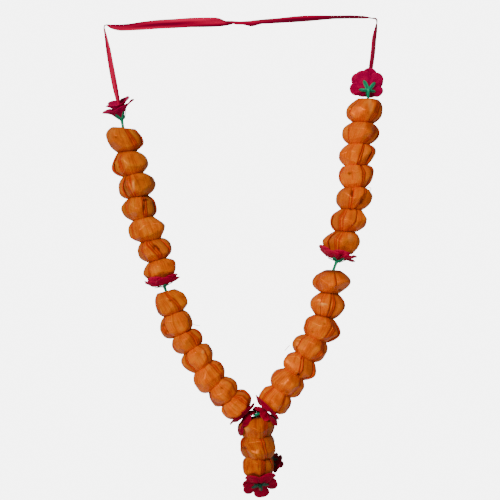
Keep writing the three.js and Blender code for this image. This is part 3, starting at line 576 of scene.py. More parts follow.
def bead_strip(builder, bead, k, strip):
    """One folded strip from the bead's top to its bottom, as a thin closed sheet."""
    sizes = bpy.context.scene.garland_sizes
    seed, columns = bead.seed * 10 + k, strip.columns
    shares, reach = bead_rows(*STRIP_ROWS)
    u = np.linspace(-1, 1, columns)
    share, across = np.meshgrid(shares, np.sign(u) * np.abs(u) ** 0.75, indexing="ij")
    reach, travel = spread(reach, columns), spread(np.linspace(0, 1, len(shares)), columns)
    low = strip.left - strip.tucks[0] + strip.slants[0] * (share - 0.5)
    high = strip.right + strip.tucks[1] + strip.slants[1] * (share - 0.5)
    half = np.radians(high - low) / 2
    wobble = 0.8 / np.degrees(half) * ripples(seed + 3, 0, travel * 12, 3) * np.abs(across) ** 3
    angle = np.radians((low + high) / 2) + half * across * (1 + wobble)
    radius = bead_radius(bead, share, angle, 0.05 * math.sin(bead.seed))
    hole = CENTRE_HOLE / bead.radius
    radius = hole + (radius - hole) * reach
    body = smooth(0.35, 0.9, radius)
    width = 2 * half * bead.radius
    around = angle * bead.radius
    lip, fall, painted_tuck_shade = (np.zeros_like(across) for _ in range(3))
    for n, way in enumerate((-across, across)):
        side, inward = np.clip(way, 0, 1), (1 - way) * np.degrees(half)
        # Painted shade: where a strip tucks under its neighbour, and a few degrees beyond, it is coloured darker, as
        # the shade there.
        if strip.tucks[n]:
            hidden, (fade, dip) = strip.tucks[n] + strip.covers[n], strip.crease
            painted_tuck_shade = np.maximum(painted_tuck_shade, 1 - smooth(hidden, hidden + fade, inward))
            fall = fall + (strip.crown + dip) * (1 - smooth(hidden, hidden + 14, inward))
        else:
            # A free edge is redder in its last 1.7 mm and bends down to the strip beside it.
            lip = np.maximum(lip, smooth(1 - 3.4 / width, 1 - 1.4 / width, side))
            fall = fall + (strip.level + strip.crown - strip.edges[n]) * side ** 5
    dents = DENT_DEPTH * ripples(bead.seed, around / 6, travel * 7, 4)
    pleats = PLEAT_DEPTH * (np.abs(np.sin(around * 0.37 + bead.seed)) - 0.5) * (1 - smooth(0.45, 0.95, radius))
    height = body * (strip.level + strip.crown - fall + dents) - pleats * smooth(0.1, 0.4, radius)
    plain = bead_point(bead, share, angle, bead.radius * radius)
    height = height + pressed(bead, plain) * smooth(0.5, 0.9, radius)
    ends = np.where(share < 0.5, 1 - smooth(0, 0.2, share), -smooth(0.8, 1, share))
    lapped = sizes.lap / MM * (strip.level > LAPPED_LEVEL) * smooth(0.4, 0.8, radius)
    lap = (lapped + 0.1 - 0.4 * pleats) * ends
    front = np.clip(np.cos(angle) * 3, 0, 1)
    skins = []
    for depth in (0.0, sizes.leaf / MM + strip.packed * (1 - across ** 4) * body):
        skin = bead_point(bead, share, angle, bead.radius * radius + height - depth)
        # Painted light: the marks colour holes and tears with painted shade and raised creases with a painted
        # highlight.
        sunk, dark = marked(skin, front)
        skin = bead_point(bead, share, angle, bead.radius * radius + height - depth - sunk * body)
        skins.append(skin + bead.up * (lap - 0.5 * depth * ends)[..., None])
    # Each strip, about 48 mm long, has a place of its own in the patterns.
    flat = np.stack([across * width / 2 + seed * 37.0, travel * 48 + seed * 11.0], -1)
    # Painted shade: 'tone' makes strips that lie deep duller, and strips right of the front and round the back duller
    # brown by a random amount, over a tone that differs at random. 'under' darkens the tucks and the bead's ends,
    # where beads press together.
    painted_recess_shade = 0.3 if strip.level < 0 else 0
    values = {
        "tone": 0.35 * draw(seed, 9) + painted_recess_shade + 0.7 * draw(seed, 8) * smooth(0.3, 1.0, angle),
        "edge": lip * body, "under": np.maximum(painted_tuck_shade, 1 - smooth(0.42, 0.72, radius)),
        "warm": bead.warmth, "mark": dark,
    }
    builder.sheet(skins[0], skins[1], flat, values)


def bead_core(builder, bead):
    """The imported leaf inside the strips, which shows only through the gaps."""
    shares, reach = bead_rows(*CORE_ROWS)
    share, angle = np.meshgrid(shares, circle(24), indexing="ij")
    radius = bead_radius(bead, share, angle) * bead.radius - CORE_DEPTH
    hole = CENTRE_HOLE * 0.8
    points = bead_point(bead, 0.06 + 0.88 * share, angle, hole + (radius - hole) * reach[:, None])
    flat = np.stack([angle * bead.radius, share * 40], -1)
    # Painted shade: the core is coloured with the folds' dark shade colour, and half with the dark of the holes, as
    # the shade inside the bead.
    builder.grid(points, flat, {"tone": 0.2, "under": 1, "warm": bead.warmth, "mark": 0.5}, around=True)


def make_bead(bead, material):
    """A bead of strips round its core, with a loose fibre where it has one."""
    builder = Builder(("tone", "edge", "under", "warm", "mark"))
    bead_core(builder, bead)
    for k, strip in enumerate(strip_layout(bead)):
        bead_strip(builder, bead, k, strip)
    if bead.name in LOOSE_FIBRES:
        line, _ = evened([(x, FIBRE_DEPTH, z) for x, z in LOOSE_FIBRES[bead.name]], 1)
        rings = tube(line, bpy.context.scene.garland_sizes.fibre / MM, 8)
        values = {"tone": 0.8, "warm": bead.warmth, "mark": -0.4}
        builder.grid(rings, flat_grid(7, 8, len(line) - 1, len(line)), values, around=True)
    place(builder.make(f"folded_bead_{bead.name}", material), f"bead_{bead.name}")


def inside_bead(bead, point, margin):
    """Whether a point is in the bead or nearer to it than the margin."""
    start, end = bead.top[0], bead.bottom[0]
    height = -(end - start) @ bead.up
    share = -((point - start) @ bead.up) / height
    if share < -margin / height or share > 1 + margin / height:
        return False
    share = min(max(share, 0), 1)
    offset = point - bead_axis(bead, share)
    angle = math.atan2(offset @ bead.right, -(offset @ bead.back))
    radius = bead.radius * bead_radius(bead, share, angle) + OUTER_LEVEL
    return np.linalg.norm(offset) < radius + margin


def bend_clear(point, beads, margin):
    """The point moved out of the beads, with the far margin for every bead but the first."""
    for _ in range(120):
        crossed = [b for i, b in enumerate(beads) if inside_bead(b, point, FAR_MARGIN if i else margin)]
        if not crossed:
            break
        point = point + unit(point - crossed[0].centre) * 0.25
    return point


# Flowers

def describe_flower(key, row, beads, joints):
    """A flower's own frame, its stem and its shape. A stem that stands on a joint keeps a gap to it."""
    base, seat, foot, *shape, clear = row
    base, foot = array(*base), array(*foot)
    axis = array(*seat) - base
    hub = np.linalg.norm(axis) - TOUCH_GAP
    axis = unit(axis)
    front = array(0, -1, 0)
    front = unit(front - axis * front.dot(axis))
    neck = base - axis * CALYX_DEPTH
    stem_way = unit(neck - foot)
    return SimpleNamespace(
        **dict(zip(FLOWER_SHAPE, shape)), name=key, seed=60 + list(FLOWERS).index(key), base=base, axis=axis,
        hub=hub, front=front, right=np.cross(axis, front), neck=neck, stem_way=stem_way,
        foot=foot + stem_way * (TOUCH_GAP if key in joints else 0), beads=[beads[b] for b in clear],
        shade=PAINTED_SHADE_ON_CLOTH.get(key, 0.25), cool=COOLER_CLOTH.get(key, 0.0), web=WEBS.get(key, 0.5))


def flower_point(flower, angle, radius, height):
    """A point at an angle round the flower from its front, and at a height above its base."""
    return (flower.base + flower.axis * height + flower.front * radius * math.cos(angle)
            + flower.right * radius * math.sin(angle))


def petal_middle(flower, layer, angle, share):
    """The middle of the cloth, before frills, at a share of its length: the lower petals are layer 0."""
    lobe = math.radians(flower.lobe + layer * flower.turn)
    width = abs(math.cos(LOBES / 2 * (angle - lobe))) ** 0.4
    towards = math.cos(angle - math.radians(flower.sway_to))
    length = flower.petals * (1 + flower.stretch * math.cos(angle - math.radians(flower.stretch_to)))
    reach = share * length * (flower.web + (1 - flower.web) * width)
    sway = flower.sway * towards * (0.6 if layer else 1)
    lift = math.radians(flower.lift[layer] + sway)
    bend = lift * (1.6 - 0.6 * share if lift > 0 else 0.7 + 0.3 * share)
    height = CLOTH / 2 + layer * UPPER_PETALS + reach * math.sin(bend)
    point = flower_point(flower, angle, HUB_RADIUS + reach * math.cos(bend), height)
    return bend_clear(point, flower.beads, NEAR_MARGINS[layer])


def make_petals(flower, material):
    """Two layers of lobed cloth whose lobes curl each their own way, on a gathered hub."""
    builder = Builder(("rim", "fold", "tone", "cool"))
    angles = np.linspace(0, math.tau, PETAL_COLUMNS + 1)
    shares = np.linspace(0, 1, PETAL_ROWS)
    looser = TWIST if flower.beads else FREE_TWIST
    share, turn = np.meshgrid(shares, angles, indexing="ij")
    for layer in (0, 1):
        seed = flower.seed * 3 + layer
        root_height = CLOTH / 2 + layer * UPPER_PETALS
        middle = np.zeros((*share.shape, 3))
        for j, angle in enumerate(angles):
            line = [flower_point(flower, angle, HUB_RADIUS / 2, root_height - 0.1),
                    flower_point(flower, angle, HUB_RADIUS, root_height)]
            line += [petal_middle(flower, layer, angle, s) for s in PETAL_SHARES]
            middle[:, j] = sampled(np.array(line), PETAL_PLACES, shares)
        soften(middle)
        normal = np.cross(np.gradient(middle, axis=0), np.gradient(middle, axis=1))
        normal /= np.linalg.norm(normal, axis=2, keepdims=True) + 1e-9
        lobes = LOBES * (turn - math.radians(flower.lobe + layer * flower.turn)) / math.tau
        number = np.round(lobes) % LOBES
        aside = 2 * (lobes - np.round(lobes))
        curl, cup, twist = (np.vectorize(lambda n: draw(seed, 40 + 7 * int(n) + k) * 2 - 1)(number) for k in range(3))
        calm = 1 - np.abs(aside) ** 4
        sag = -SAG * share ** 1.5 * (1 - aside ** 2)
        turned = share ** 2.5 * (CURL * curl + looser * twist * aside) * calm
        cupped = share ** 1.5 * CUP * cup * aside ** 2 * calm
        frill = FRILL * share ** 2 * np.sin(turn * 23 + seed)
        ridge = RIDGE * smooth(0.05, 0.5, share) * np.cos(math.tau * aside)
        height = (sag + turned + cupped + frill + ridge) * smooth(0.1, 0.45, share)
        middle = middle + normal * height[..., None]
        middle[:, -1], normal[:, -1] = middle[:, 0], normal[:, 0]
        flat = np.stack([turn * 12, share * flower.petals], -1)
        # Painted shade: the cloth is coloured darker between the lobes and towards the hub, and darker all over by
        # the flower's painted shade, with a little tone that differs at random.
        values = {"rim": smooth(0.86, 1, share), "fold": smooth(0.5, 1, np.abs(aside)) * (1 - 0.5 * share),
                  "tone": flower.shade + 0.25 * (draw(seed, 4) - 0.5), "cool": flower.cool}
        half = bpy.context.scene.garland_sizes.cloth / MM / 2
        builder.sheet(middle + normal * half, middle - normal * half, flat, values)
    heights = (0.1, 0.8, 1.9, flower.hub * 0.7, flower.hub - 0.15)
    gather = np.array([flower_point(flower, 0, 0, h) for h in heights])
    rings = tube(gather, [2.2, 2.75, 2.5, 2.2, 1.6], 24, 0.3, 12, 0.14)
    # Painted shade on the hub, as on the petals.
    values = {"fold": 0.2, "tone": flower.shade, "cool": flower.cool}
    builder.grid(rings, flat_grid(12, 24, 5, 5), values, around=True)
    piece = builder.make(f"cloth_flower_{flower.name}", material)
    place(piece, f"flower_{flower.name}_petals")


def turned_ring(flower, centre, way, radius, angles):
    """A ring of the stem, square to its way, with its first point on the flower's front."""
    turn = Quaternion(Vector(flower.axis).rotation_difference(Vector(way)))
    offsets = [flower_point(flower, angle, radius, 0) - flower.base for angle in angles]
    return [np.array(turn @ Vector(offset)) + centre for offset in offsets]


def make_calyx(flower, material):
    """A moulded cup with five pointed sepals on a tube stem."""
    builder = Builder(("vein", "age"))
    columns = LOBES * 12
    angles = circle(columns)
    lobe = math.radians(flower.lobe)
    point_share = np.abs(np.cos(LOBES / 2 * (angles - lobe)))
    outer, inner = [], []
    for reach in np.linspace(1, 0, 9):
        ring_out, ring_in = [], []
        for angle, point in zip(angles, point_share):
            share = reach * (SEPAL_WEB + (1 - SEPAL_WEB) * point ** 2.2) * bpy.context.scene.garland_sizes.sepal
            root = flower_point(flower, angle, HUB_RADIUS, 0)
            way = petal_middle(flower, 0, angle, SEPAL_SHARE) - root
            normal = unit(np.cross(way, flower.right * math.cos(angle) - flower.front * math.sin(angle)))
            spot = root + way * share - normal * SEPAL_DROP
            ring_out.append(spot - normal * (SEPAL_THICKNESS + KEEL * point ** 8))
            ring_in.append(spot)
        outer.append(ring_out)
        inner.append(ring_in)
    bend = unit(flower.axis + flower.stem_way)
    cup = [[flower_point(flower, a, radius, -CALYX_DEPTH * depth) for a in angles] for depth, radius in CUP_RINGS]
    stem = [turned_ring(flower, flower.neck, bend, STEM_RADIUS * 1.25, angles)]
    for share in STEM_RINGS:
        centre = flower.neck * (1 - share) + flower.foot * share
        radius = STEM_RADIUS * (1 + 0.12 * (1 - share) ** 3 - (0.08 if share == 1 else 0))
        stem.append(turned_ring(flower, centre, flower.stem_way, radius, angles))
    stem.append(turned_ring(flower, flower.foot, flower.stem_way, STEM_BORE, angles))
    core = [[flower_point(flower, a, STEM_BORE, -0.4) for a in angles]]
    rings = np.array(core + inner[::-1] + outer + cup + stem)
    rows = np.arange(len(rings))
    flat = np.stack(np.meshgrid(angles * 3, rows * 1.2), -1)
    vein = point_share ** 10 * (rows[:, None] < 20)
    # Painted shade: the calyx goes near black on the flowers with the most painted shade on their cloth.
    builder.grid(rings, flat, {"vein": vein, "age": 0.9 * smooth(0.3, 0.6, flower.shade)}, around=True)
    piece = builder.make(f"calyx_{flower.name}", material)
    place(piece, f"flower_{flower.name}_calyx")


# Cords

def joint_points(beads):
    """Where the cord crosses each joint of a length of beads."""
    return [beads[0].top[0]] + [bead.bottom[0] for bead in beads]


def flower_points(flower):
    """Where the cord goes through a flower and its stem."""
    return [flower.base, flower.neck, flower.foot]


def make_cord(name, points, material, node, knots=()):
    """Two twisted plies along the line, with its knots of three tilted turns each."""
    builder = Builder(("dyed",))
    thick = bpy.context.scene.garland_sizes.cord / MM
    line, _ = evened(points, CORD_STEP)
    rings = tube(line, thick, 12, **LAID)
    builder.grid(rings, flat_grid(4, 12, (len(line) - 1) * CORD_STEP, len(line)), {}, around=True)
    for centre, radius in knots:
        turns = np.linspace(0, math.tau, 49)
        for k, tilt in enumerate((0.0, 1.1, 2.2)):
            ring = [centre + radius * 0.62 * array(
                math.cos(t) * math.cos(tilt), math.sin(t) * 0.9, math.cos(t) * math.sin(tilt) + 0.5 * math.sin(t + k))
                for t in turns]
            knot = tube(ring, thick, 10, **LAID)
            # Painted shade: the knots are coloured dark red-brown, as the shade they sit in.
            builder.grid(knot, flat_grid(4, 10, 30, 49), {"dyed": 1.0}, around=True)
    place(builder.make(name, material), node)


# Ribbon

def ribbon_frames():
    """How far along the ribbon is every 2 mm or so, and its x, y, z, turn and width there."""
    usual = (0, 0, 0, 0, RIBBON_WIDTH)
    rows = np.array([row + usual[len(row):] for row in RIBBON_ROUTE], float)[:, (0, 3, 1, 2, 4)]
    dense, places = evened(rows, RIBBON_STEP)
    soften(dense)
    return places, dense


def make_ribbon(material):
    """Satin ribbon with lengthwise folds, gathered at its ends."""
    builder = Builder(("fold", "edge"))
    places, dense = ribbon_frames()
    u = np.linspace(-1, 1, RIBBON_COLUMNS)
    outer, inner, folds = [], [], []
    half = bpy.context.scene.garland_sizes.ribbon / MM / 2
    for i, (x, y, z, turn, width) in enumerate(dense):
        before, after = dense[max(i - 1, 0)], dense[min(i + 1, len(dense) - 1)]
        way = unit((after - before)[:3])
        turn = math.radians(turn)
        across = array(0, math.cos(turn), 0) + array(-way[2], 0, way[0]) * math.sin(turn)
        across = unit(across - way * across.dot(way))
        face = np.cross(across, way)
        s = places[i]
        gather = 1 - width / RIBBON_WIDTH
        wave = sum(high * np.sin(u * count + s / along + start) for high, count, along, start in RIBBON_WAVES)
        wave = wave + gather * 1.3 * np.sin(u * 9)
        calm = smooth(0, 12, abs(x)) if z > TOP_RUN else 1.0
        hump = wave * (0.25 + 0.75 * calm)
        line = array(x, y, z) + np.outer(u * width / 2, across) + np.outer(hump, face)
        if z > TOP_RUN:
            line[:, 2] -= TOP_SAG * smooth(0, 1, u) ** 1.5 * (1 - smooth(12, 30, abs(x)))
        outer.append(line + face * half)
        inner.append(line - face * half)
        # Painted light and shade: the colour follows the folds' height, lighter on crests and darker in troughs,
        # darker to the right along the top run and lighter on the right-hand drop.
        side = smooth(0, 40, x)
        folds.append(hump + (-0.5 if z > TOP_RUN else 0.6) * side)
    outer, inner = np.array(outer), np.array(inner)
    flat = np.stack(np.meshgrid(u * RIBBON_WIDTH / 2, places), -1)
    values = {"fold": np.array(folds), "edge": np.broadcast_to(smooth(0.86, 0.98, np.abs(u)), outer.shape[:2])}
    builder.sheet(outer, inner, flat, values)
    piece = builder.make("satin_neck_ribbon", material)
    place(piece, "neck_ribbon")


# Materials

NOISE = "ShaderNodeTexNoise"


def add_node(tree, kind, settings=None, links=None):
    """Adds a node, sets its values, sockets and colour stops, and links its inputs."""
    node = tree.nodes.new(kind)
    for name, value in (settings or {}).items():
        if name == "stops":
            elements = node.color_ramp.elements
            while len(elements) < len(value):
                elements.new(0.5)
            for element, (position, colour) in zip(elements, value):
                element.position = position
                element.color = linear(colour)
        elif isinstance(name, str) and hasattr(node, name):
            setattr(node, name, value)
        else:
            node.inputs[name].default_value = value
    for name, source in (links or {}).items():
        tree.links.new(source, node.inputs[name])
    return node


def new_material(name, roughness, **settings):
    """A material with its node tree and its shader, whose other settings are constant."""
    material = bpy.data.materials.new(name)
    material.use_nodes = True
    tree = material.node_tree
    shader = tree.nodes["Principled BSDF"]
    shader.inputs["Roughness"].default_value = roughness
    for label, value in settings.items():
        shader.inputs[label.replace("_", " ")].default_value = value
    return material, tree, shader


def pattern(tree, kind, across, along, **settings):
    """A texture in the piece's own flat millimetres, stretched across and along it."""
    flat = add_node(tree, "ShaderNodeUVMap", {"uv_map": "flat"})
    scaled = add_node(tree, "ShaderNodeMapping", {"Scale": (across, along, 1)}, {"Vector": flat.outputs[0]})
    return add_node(tree, kind, settings, {"Vector": scaled.outputs[0]}).outputs["Fac"]


def stretched(tree, where, low, high, start, end):
    """A value, or the one that the points hold under that name, stretched and held at its ends."""
    if isinstance(where, str):
        where = add_node(tree, "ShaderNodeAttribute", {"attribute_name": where}).outputs["Fac"]
    return add_node(tree, "ShaderNodeMapRange", {1: low, 2: high, 3: start, 4: end}, {0: where}).outputs[0]


def laid_over(tree, under, dye, share, where=None, low=0.0, high=1.0):
    """A dye over a colour. It has no share where a value is low and its full share where that is high."""
    settings, links = {"data_type": "RGBA"}, {6: under}
    if where is None:
        settings[0] = share
    else:
        links[0] = stretched(tree, where, low, high, 0.0, share)
    if isinstance(dye, bpy.types.NodeSocket):
        links[7] = dye
    else:
        settings[7] = linear(dye)
    return add_node(tree, "ShaderNodeMix", settings, links).outputs[2]


def colour_shader(tree, shader, value, stops, *layers):
    """Colours the shader by a value and its stops, with dyes laid over them in turn."""
    colour = add_node(tree, "ShaderNodeValToRGB", {"stops": stops}, {0: value}).outputs[0]
    for layer in layers:
        colour = laid_over(tree, colour, *layer)
    tree.links.new(colour, shader.inputs["Base Color"])


def roughen(tree, shader, height, strength, depth):
    """Gives the shader a fine relief, with its depth in millimetres."""
    bump = add_node(tree, "ShaderNodeBump", {"Strength": strength, "Distance": depth * MM}, {"Height": height})
    tree.links.new(bump.outputs[0], shader.inputs["Normal"])


def spread_shine(tree, shader):
    """Spreads the shine across fibres or threads that run along the piece."""
    way = add_node(tree, "ShaderNodeTangent", {"direction_type": "UV_MAP", "uv_map": "flat"})
    tree.links.new(way.outputs[0], shader.inputs["Tangent"])


def leaf_material(colours):
    """Palm leaf, split, dyed and folded damp: satin along the fibre, redder at cut edges, with painted shade in its
    tucks, at its ends, in its core and in its holes, and painted highlights on some creases.
    """
    material, tree, shader = new_material("palm_leaf_dyed_orange_folded", 0.3, Specular_IOR_Level=0.62,
                                          Anisotropic=0.85, Specular_Tint=linear("#FF8C30"))
    # Leaf fibres lie about 0.5 mm apart; drawn 1.6 mm apart here so that they show.
    fibre = pattern(tree, NOISE, 0.62, 0.03, Scale=1.0, Detail=3.0, Roughness=0.6)
    blotch = pattern(tree, NOISE, 0.12, 0.07, Scale=1.0, Detail=3.0, Roughness=0.55)
    # Veins stand 3 to 5 mm apart and took more dye.
    veins = pattern(tree, NOISE, 0.34, 0.025, Scale=1.0, Detail=2.0, Roughness=0.7, Distortion=0.4)
    # The pendant's leaf took the darkest dye, the left strand's is duller and the right strand's is the freshest.
    warmth = add_node(tree, "ShaderNodeAttribute", {"attribute_name": "warm"}).outputs["Fac"]
    dyes = ((0.0, "#8A2C00"), (0.45, "#AC5812"), (1.0, "#F26400"))
    dye = add_node(tree, "ShaderNodeValToRGB", {"stops": dyes}, {0: warmth}).outputs[0]
    # Painted light: 'tone' adds painted shade to deep strips and strips right of the front, over a tone that differs
    # at random; the folds' colour is painted shade in tucks, at the beads' ends and in the core; the marks add
    # painted shade in holes and a painted highlight on creases.
    colour_shader(
        tree, shader, fibre, ((0.3, colours.leaf_dark), (0.5, colours.leaf), (0.7, colours.leaf_light)),
        ("#F0901A", 0.75, blotch, 0.48, 0.66), ("#9A3200", 0.6, blotch, 0.46, 0.34),
        ("#9C2C02", 0.62, veins, 0.52, 0.66), ("#8C5626", 0.75, "tone", 0.1, 1.0), (dye, 0.42),
        ("#CC2A06", 0.9, "edge", 0.0, 0.8), (colours.fold, 0.88, "under"), ("#4A1204", 0.9, "mark"),
        ("#FFB45A", 0.9, "mark", 0.0, -1.0))
    tree.links.new(stretched(tree, fibre, 0.3, 0.7, 0.2, 0.36), shader.inputs["Roughness"])
    roughen(tree, shader, fibre, 0.45, 0.5)
    spread_shine(tree, shader)
    return material


def cloth_material(colours):
    """Cotton satin stiffened with glue and stamped out: matt and deep red, with painted shade between the lobes,
    towards the hub and on the flowers that lie in shade.
    """
    material, tree, shader = new_material("cotton_cloth_stiffened_crimson", 0.8, Sheen_Weight=0.06,
                                          Sheen_Roughness=0.4, Specular_IOR_Level=0.12,
                                          Specular_Tint=linear("#FF6070"))
    # Threads are 0.35 mm apart, drawn twice as coarse.
    weave = pattern(tree, "ShaderNodeTexWave", 1.0, 1.0, Scale=1.4, Distortion=0.6, Detail=1.0)
    patch = pattern(tree, NOISE, 1.0, 1.0, Scale=0.16, Detail=2.0)
    # Painted shade: 'tone' darkens the flowers that lie in shade, and the folds' value darkens the cloth between the
    # lobes and towards the hub.
    colour_shader(tree, shader, patch, ((0.3, "#A40028"), (0.55, colours.cloth), (0.8, "#D80840")),
                  ("#4A0016", 0.85, "tone"), ("#5A0018", 0.6, "fold"), ("#D41040", 0.3, "rim"),
                  ("#B40052", 0.5, "cool"))
    roughen(tree, shader, weave, 0.25, 0.2)
    return material


def plastic_material(colours):
    """Polyethylene, injection moulded: waxy green with a soft shine and darker keels, near black where painted shade
    is laid on.
    """
    material, tree, shader = new_material("polyethylene_moulded_green", 0.45, IOR=1.51, Specular_IOR_Level=0.3)
    cloud = pattern(tree, NOISE, 1.0, 1.0, Scale=0.25, Detail=2.0)
    # Painted shade: the near black layer darkens the calyxes of shaded flowers.
    colour_shader(tree, shader, cloud, ((0.3, "#0A8858"), (0.6, colours.plastic), (0.8, "#24B080")),
                  ("#04523A", 0.5, "vein"), ("#03140F", 0.97, "age"))
    roughen(tree, shader, cloud, 0.15, 0.2)
    return material


def ribbon_material(colours):
    """Polyester satin, woven narrow: crimson with a soft sheen, painted light on its folds' crests and painted shade
    in their troughs, and a firm selvedge.
    """
    material, tree, shader = new_material("polyester_satin_woven_crimson", 0.42, Sheen_Weight=0.05,
                                          Sheen_Roughness=0.3, Anisotropic=0.6, Specular_IOR_Level=0.25,
                                          Specular_Tint=linear("#FF6A80"))
    # Warp threads are 0.12 mm apart, drawn at 0.5 mm.
    threads = pattern(tree, NOISE, 2.0, 0.05, Scale=1.0, Detail=2.0)
    # Painted light and shade by the folds' value: dark in the troughs, light on the crests.
    colour_shader(tree, shader, stretched(tree, "fold", -0.9, 0.9, 0.0, 1.0),
                  ((0.1, "#6A0022"), (0.45, colours.ribbon), (0.85, "#DA0A48")),
                  ("#7E0024", 0.35, threads, 0.4, 0.75), ("#6A001E", 0.5, "edge"))
    roughen(tree, shader, threads, 0.2, 0.2)
    spread_shine(tree, shader)
    return material


def cord_material(colours):
    """Cotton, two plies twisted: pale and matt, with painted shade that colours its knots dark red-brown."""
    material, tree, shader = new_material("cotton_cord_twisted", 0.9, Specular_IOR_Level=0.2)
    stain = pattern(tree, NOISE, 1.0, 1.0, Scale=0.3, Detail=3.0)
    # Painted shade: the dark red-brown on the knots stands in for the shade they sit in.
    colour_shader(tree, shader, stain, ((0.3, "#B98468"), (0.6, colours.cord), (0.8, "#E6CDBB")),
                  ("#5E1C1C", 0.85, "dyed"))
    roughen(tree, shader, stain, 0.3, 0.2)
    return material


def studio_material():
    """Matt white paper: plain, so that only the garland has colour."""
    material, tree, shader = new_material("paper_backing_matt_white", 0.9, Specular_IOR_Level=0.1)
    tone = add_node(tree, NOISE, {"Scale": 3.0, "Detail": 2.0}).outputs["Fac"]
    colour_shader(tree, shader, tone, ((0.3, "#F3F3F2"), (0.7, "#F8F8F7")))
    return material


# Garland as a whole, from the tables

def garland_parts():
    """Every bead by name, the lengths by name, and every flower by name."""
    lengths = {key: string_beads(*row) for key, row in LENGTHS.items()}
    beads = {bead.name: bead for length in lengths.values() for bead in length}
    for bead in beads.values():
        strand, number = bead.name.split("_")
        warm = {"left": 0.4 + 0.04 * int(number), "right": 1.0, "pendant": 0.05}[strand]
        bead.warmth = min(max(warm + 0.2 * (draw(bead.seed, 4) - 0.5), 0), 1)
    footed = ("left_top", "right_top", "left_middle", "right_middle")
    flowers = {key: describe_flower(key, row, beads, footed) for key, row in FLOWERS.items()}
    return beads, lengths, flowers


BEADS, STRINGS, BLOOMS = garland_parts()


def length(name, description, millimetres):
    """A setting for a length."""
    return bpy.props.FloatProperty(name=name, description=description, default=millimetres * MM, min=0.0001,
                                   unit="LENGTH", precision=5)


def colour(name, description, text):
    """A setting for a colour."""
    return bpy.props.FloatVectorProperty(name=name, description=description, default=linear(text), size=4, min=0,
                                         max=1, subtype="COLOR")


class GarlandSizes(bpy.types.PropertyGroup):
    """Sizes of the garland's pieces."""

    leaf: length("Leaf thickness", "Thickness of a folded leaf strip", LEAF)
    lap: length("Lap", "How far an outer strip bulges over the next bead", LAP)
    press: bpy.props.FloatProperty(
        name="Pressed flat", description="How much of the way a bead's skin goes to its flat faces",
        default=FACET_SHARE, min=0, max=1, subtype="FACTOR")
    cloth: length("Cloth thickness", "Thickness of a flower's cloth", 0.4)
    sepal: bpy.props.FloatProperty(
        name="Sepal length", description="Length of a sepal as a share of the way to the petals' first row",
        default=1.1, min=0.3, max=1.3, subtype="FACTOR")
    cord: length("Cord radius", "Radius of the stringing cord", 0.62)
    ribbon: length("Ribbon thickness", "Thickness of the satin ribbon", 0.28)
    fibre: length("Loose fibre radius", "Radius of a fibre that has come loose", 0.35)


class GarlandColours(bpy.types.PropertyGroup):
    """Colours of the garland's materials."""

    leaf: colour("Leaf", "Dyed palm leaf", "#E46000")
    leaf_dark: colour("Leaf, dark fibres", "Dyed palm leaf between its fibres", "#B44200")
    leaf_light: colour("Leaf, light fibres", "Dyed palm leaf on its fibres", "#F47600")
    # Painted shade: this dark red-brown stands in for the shade in the leaf's tucks, at the beads' ends where they
    # press together, and in the core.
    fold: colour("Folds", "Dye that gathered in the folds", "#741804")
    cloth: colour("Cloth", "Flower cloth", "#C40034")
    plastic: colour("Plastic", "Calyxes and stems", "#109C6C")
    ribbon: colour("Ribbon", "Satin neck ribbon", "#AC0032")
    cord: colour("Cord", "Cotton stringing cord", "#D9B49C")


class GarlandStudio(bpy.types.PropertyGroup):
    """The floor and the light."""

    key_power: bpy.props.FloatProperty(
        name="Key light", description="Power of the soft key light", default=36.0, min=0, subtype="POWER")
    surround: bpy.props.FloatProperty(
        name="Surround", description="Strength of the white studio's own light", default=0.2, min=0)
    floor_drop: bpy.props.FloatProperty(
        name="Floor", description="Depth of the floor under the ribbon", default=1.0, unit="LENGTH")


class GARLAND_OT_stage(bpy.types.Operator):
    """Make the pale floor, the soft studio light and the camera"""

    bl_idname = "garland.stage"
    bl_label = "Stage"

    def execute(self, context):
        settings = context.scene.garland_studio
        centre = Vector(VIEW_CENTRE) * MM
        camera = bpy.data.objects.new("camera", bpy.data.cameras.new("camera"))
        camera.data.sensor_width = SENSOR
        camera.data.lens = SENSOR * VIEW_DISTANCE / (FRAME_PIXELS * PIXEL * MM)
        camera.data.clip_start = 0.05
        camera.location = centre + Vector((0, -VIEW_DISTANCE, 0))
        camera.rotation_euler = (math.radians(90), 0, 0)
        context.scene.collection.objects.link(camera)
        context.scene.camera = camera

        builder = Builder(())
        radii = np.linspace(*FLOOR_RADII, 12)
        angles = circle(64)
        rings = np.array([[(r * math.cos(a), r * math.sin(a), -settings.floor_drop) for a in angles] for r in radii])
        builder.grid(rings, rings[..., :2], {}, around=True)
        floor = builder.make("paper_floor", studio_material(), 1.0)

        for name, spot, size, share, tint in LIGHTS:
            lamp = bpy.data.objects.new(name, bpy.data.lights.new(name, "AREA"))
            lamp.data.shape = "DISK"
            lamp.data.size = size
            lamp.data.energy = settings.key_power * share
            lamp.data.color = tint
            lamp.location = spot
            lamp.rotation_mode = "QUATERNION"
            lamp.rotation_quaternion = (centre - lamp.location).to_track_quat("-Z", "Y")
            # In the satin leaf the back light would show as white rims.
            lamp.visible_glossy = name != "back"
            context.scene.collection.objects.link(lamp)

        world = bpy.data.worlds.new("white_studio")
        context.scene.world = world
        world.use_nodes = True
        tree = world.node_tree
        shown = add_node(tree, "ShaderNodeBackground", {"Color": (1, 1, 1, 1), "Strength": SHOWN_WHITE})
        lit = tree.nodes["Background"]
        lit.inputs["Color"].default_value = (1, 1, 1, 1)
        lit.inputs["Strength"].default_value = settings.surround
        seen = add_node(tree, "ShaderNodeLightPath").outputs["Is Camera Ray"]
        both = add_node(tree, "ShaderNodeMixShader", links={0: seen, 1: lit.outputs[0], 2: shown.outputs[0]})
        tree.links.new(both.outputs[0], tree.nodes["World Output"].inputs[0])
        return {"FINISHED"}


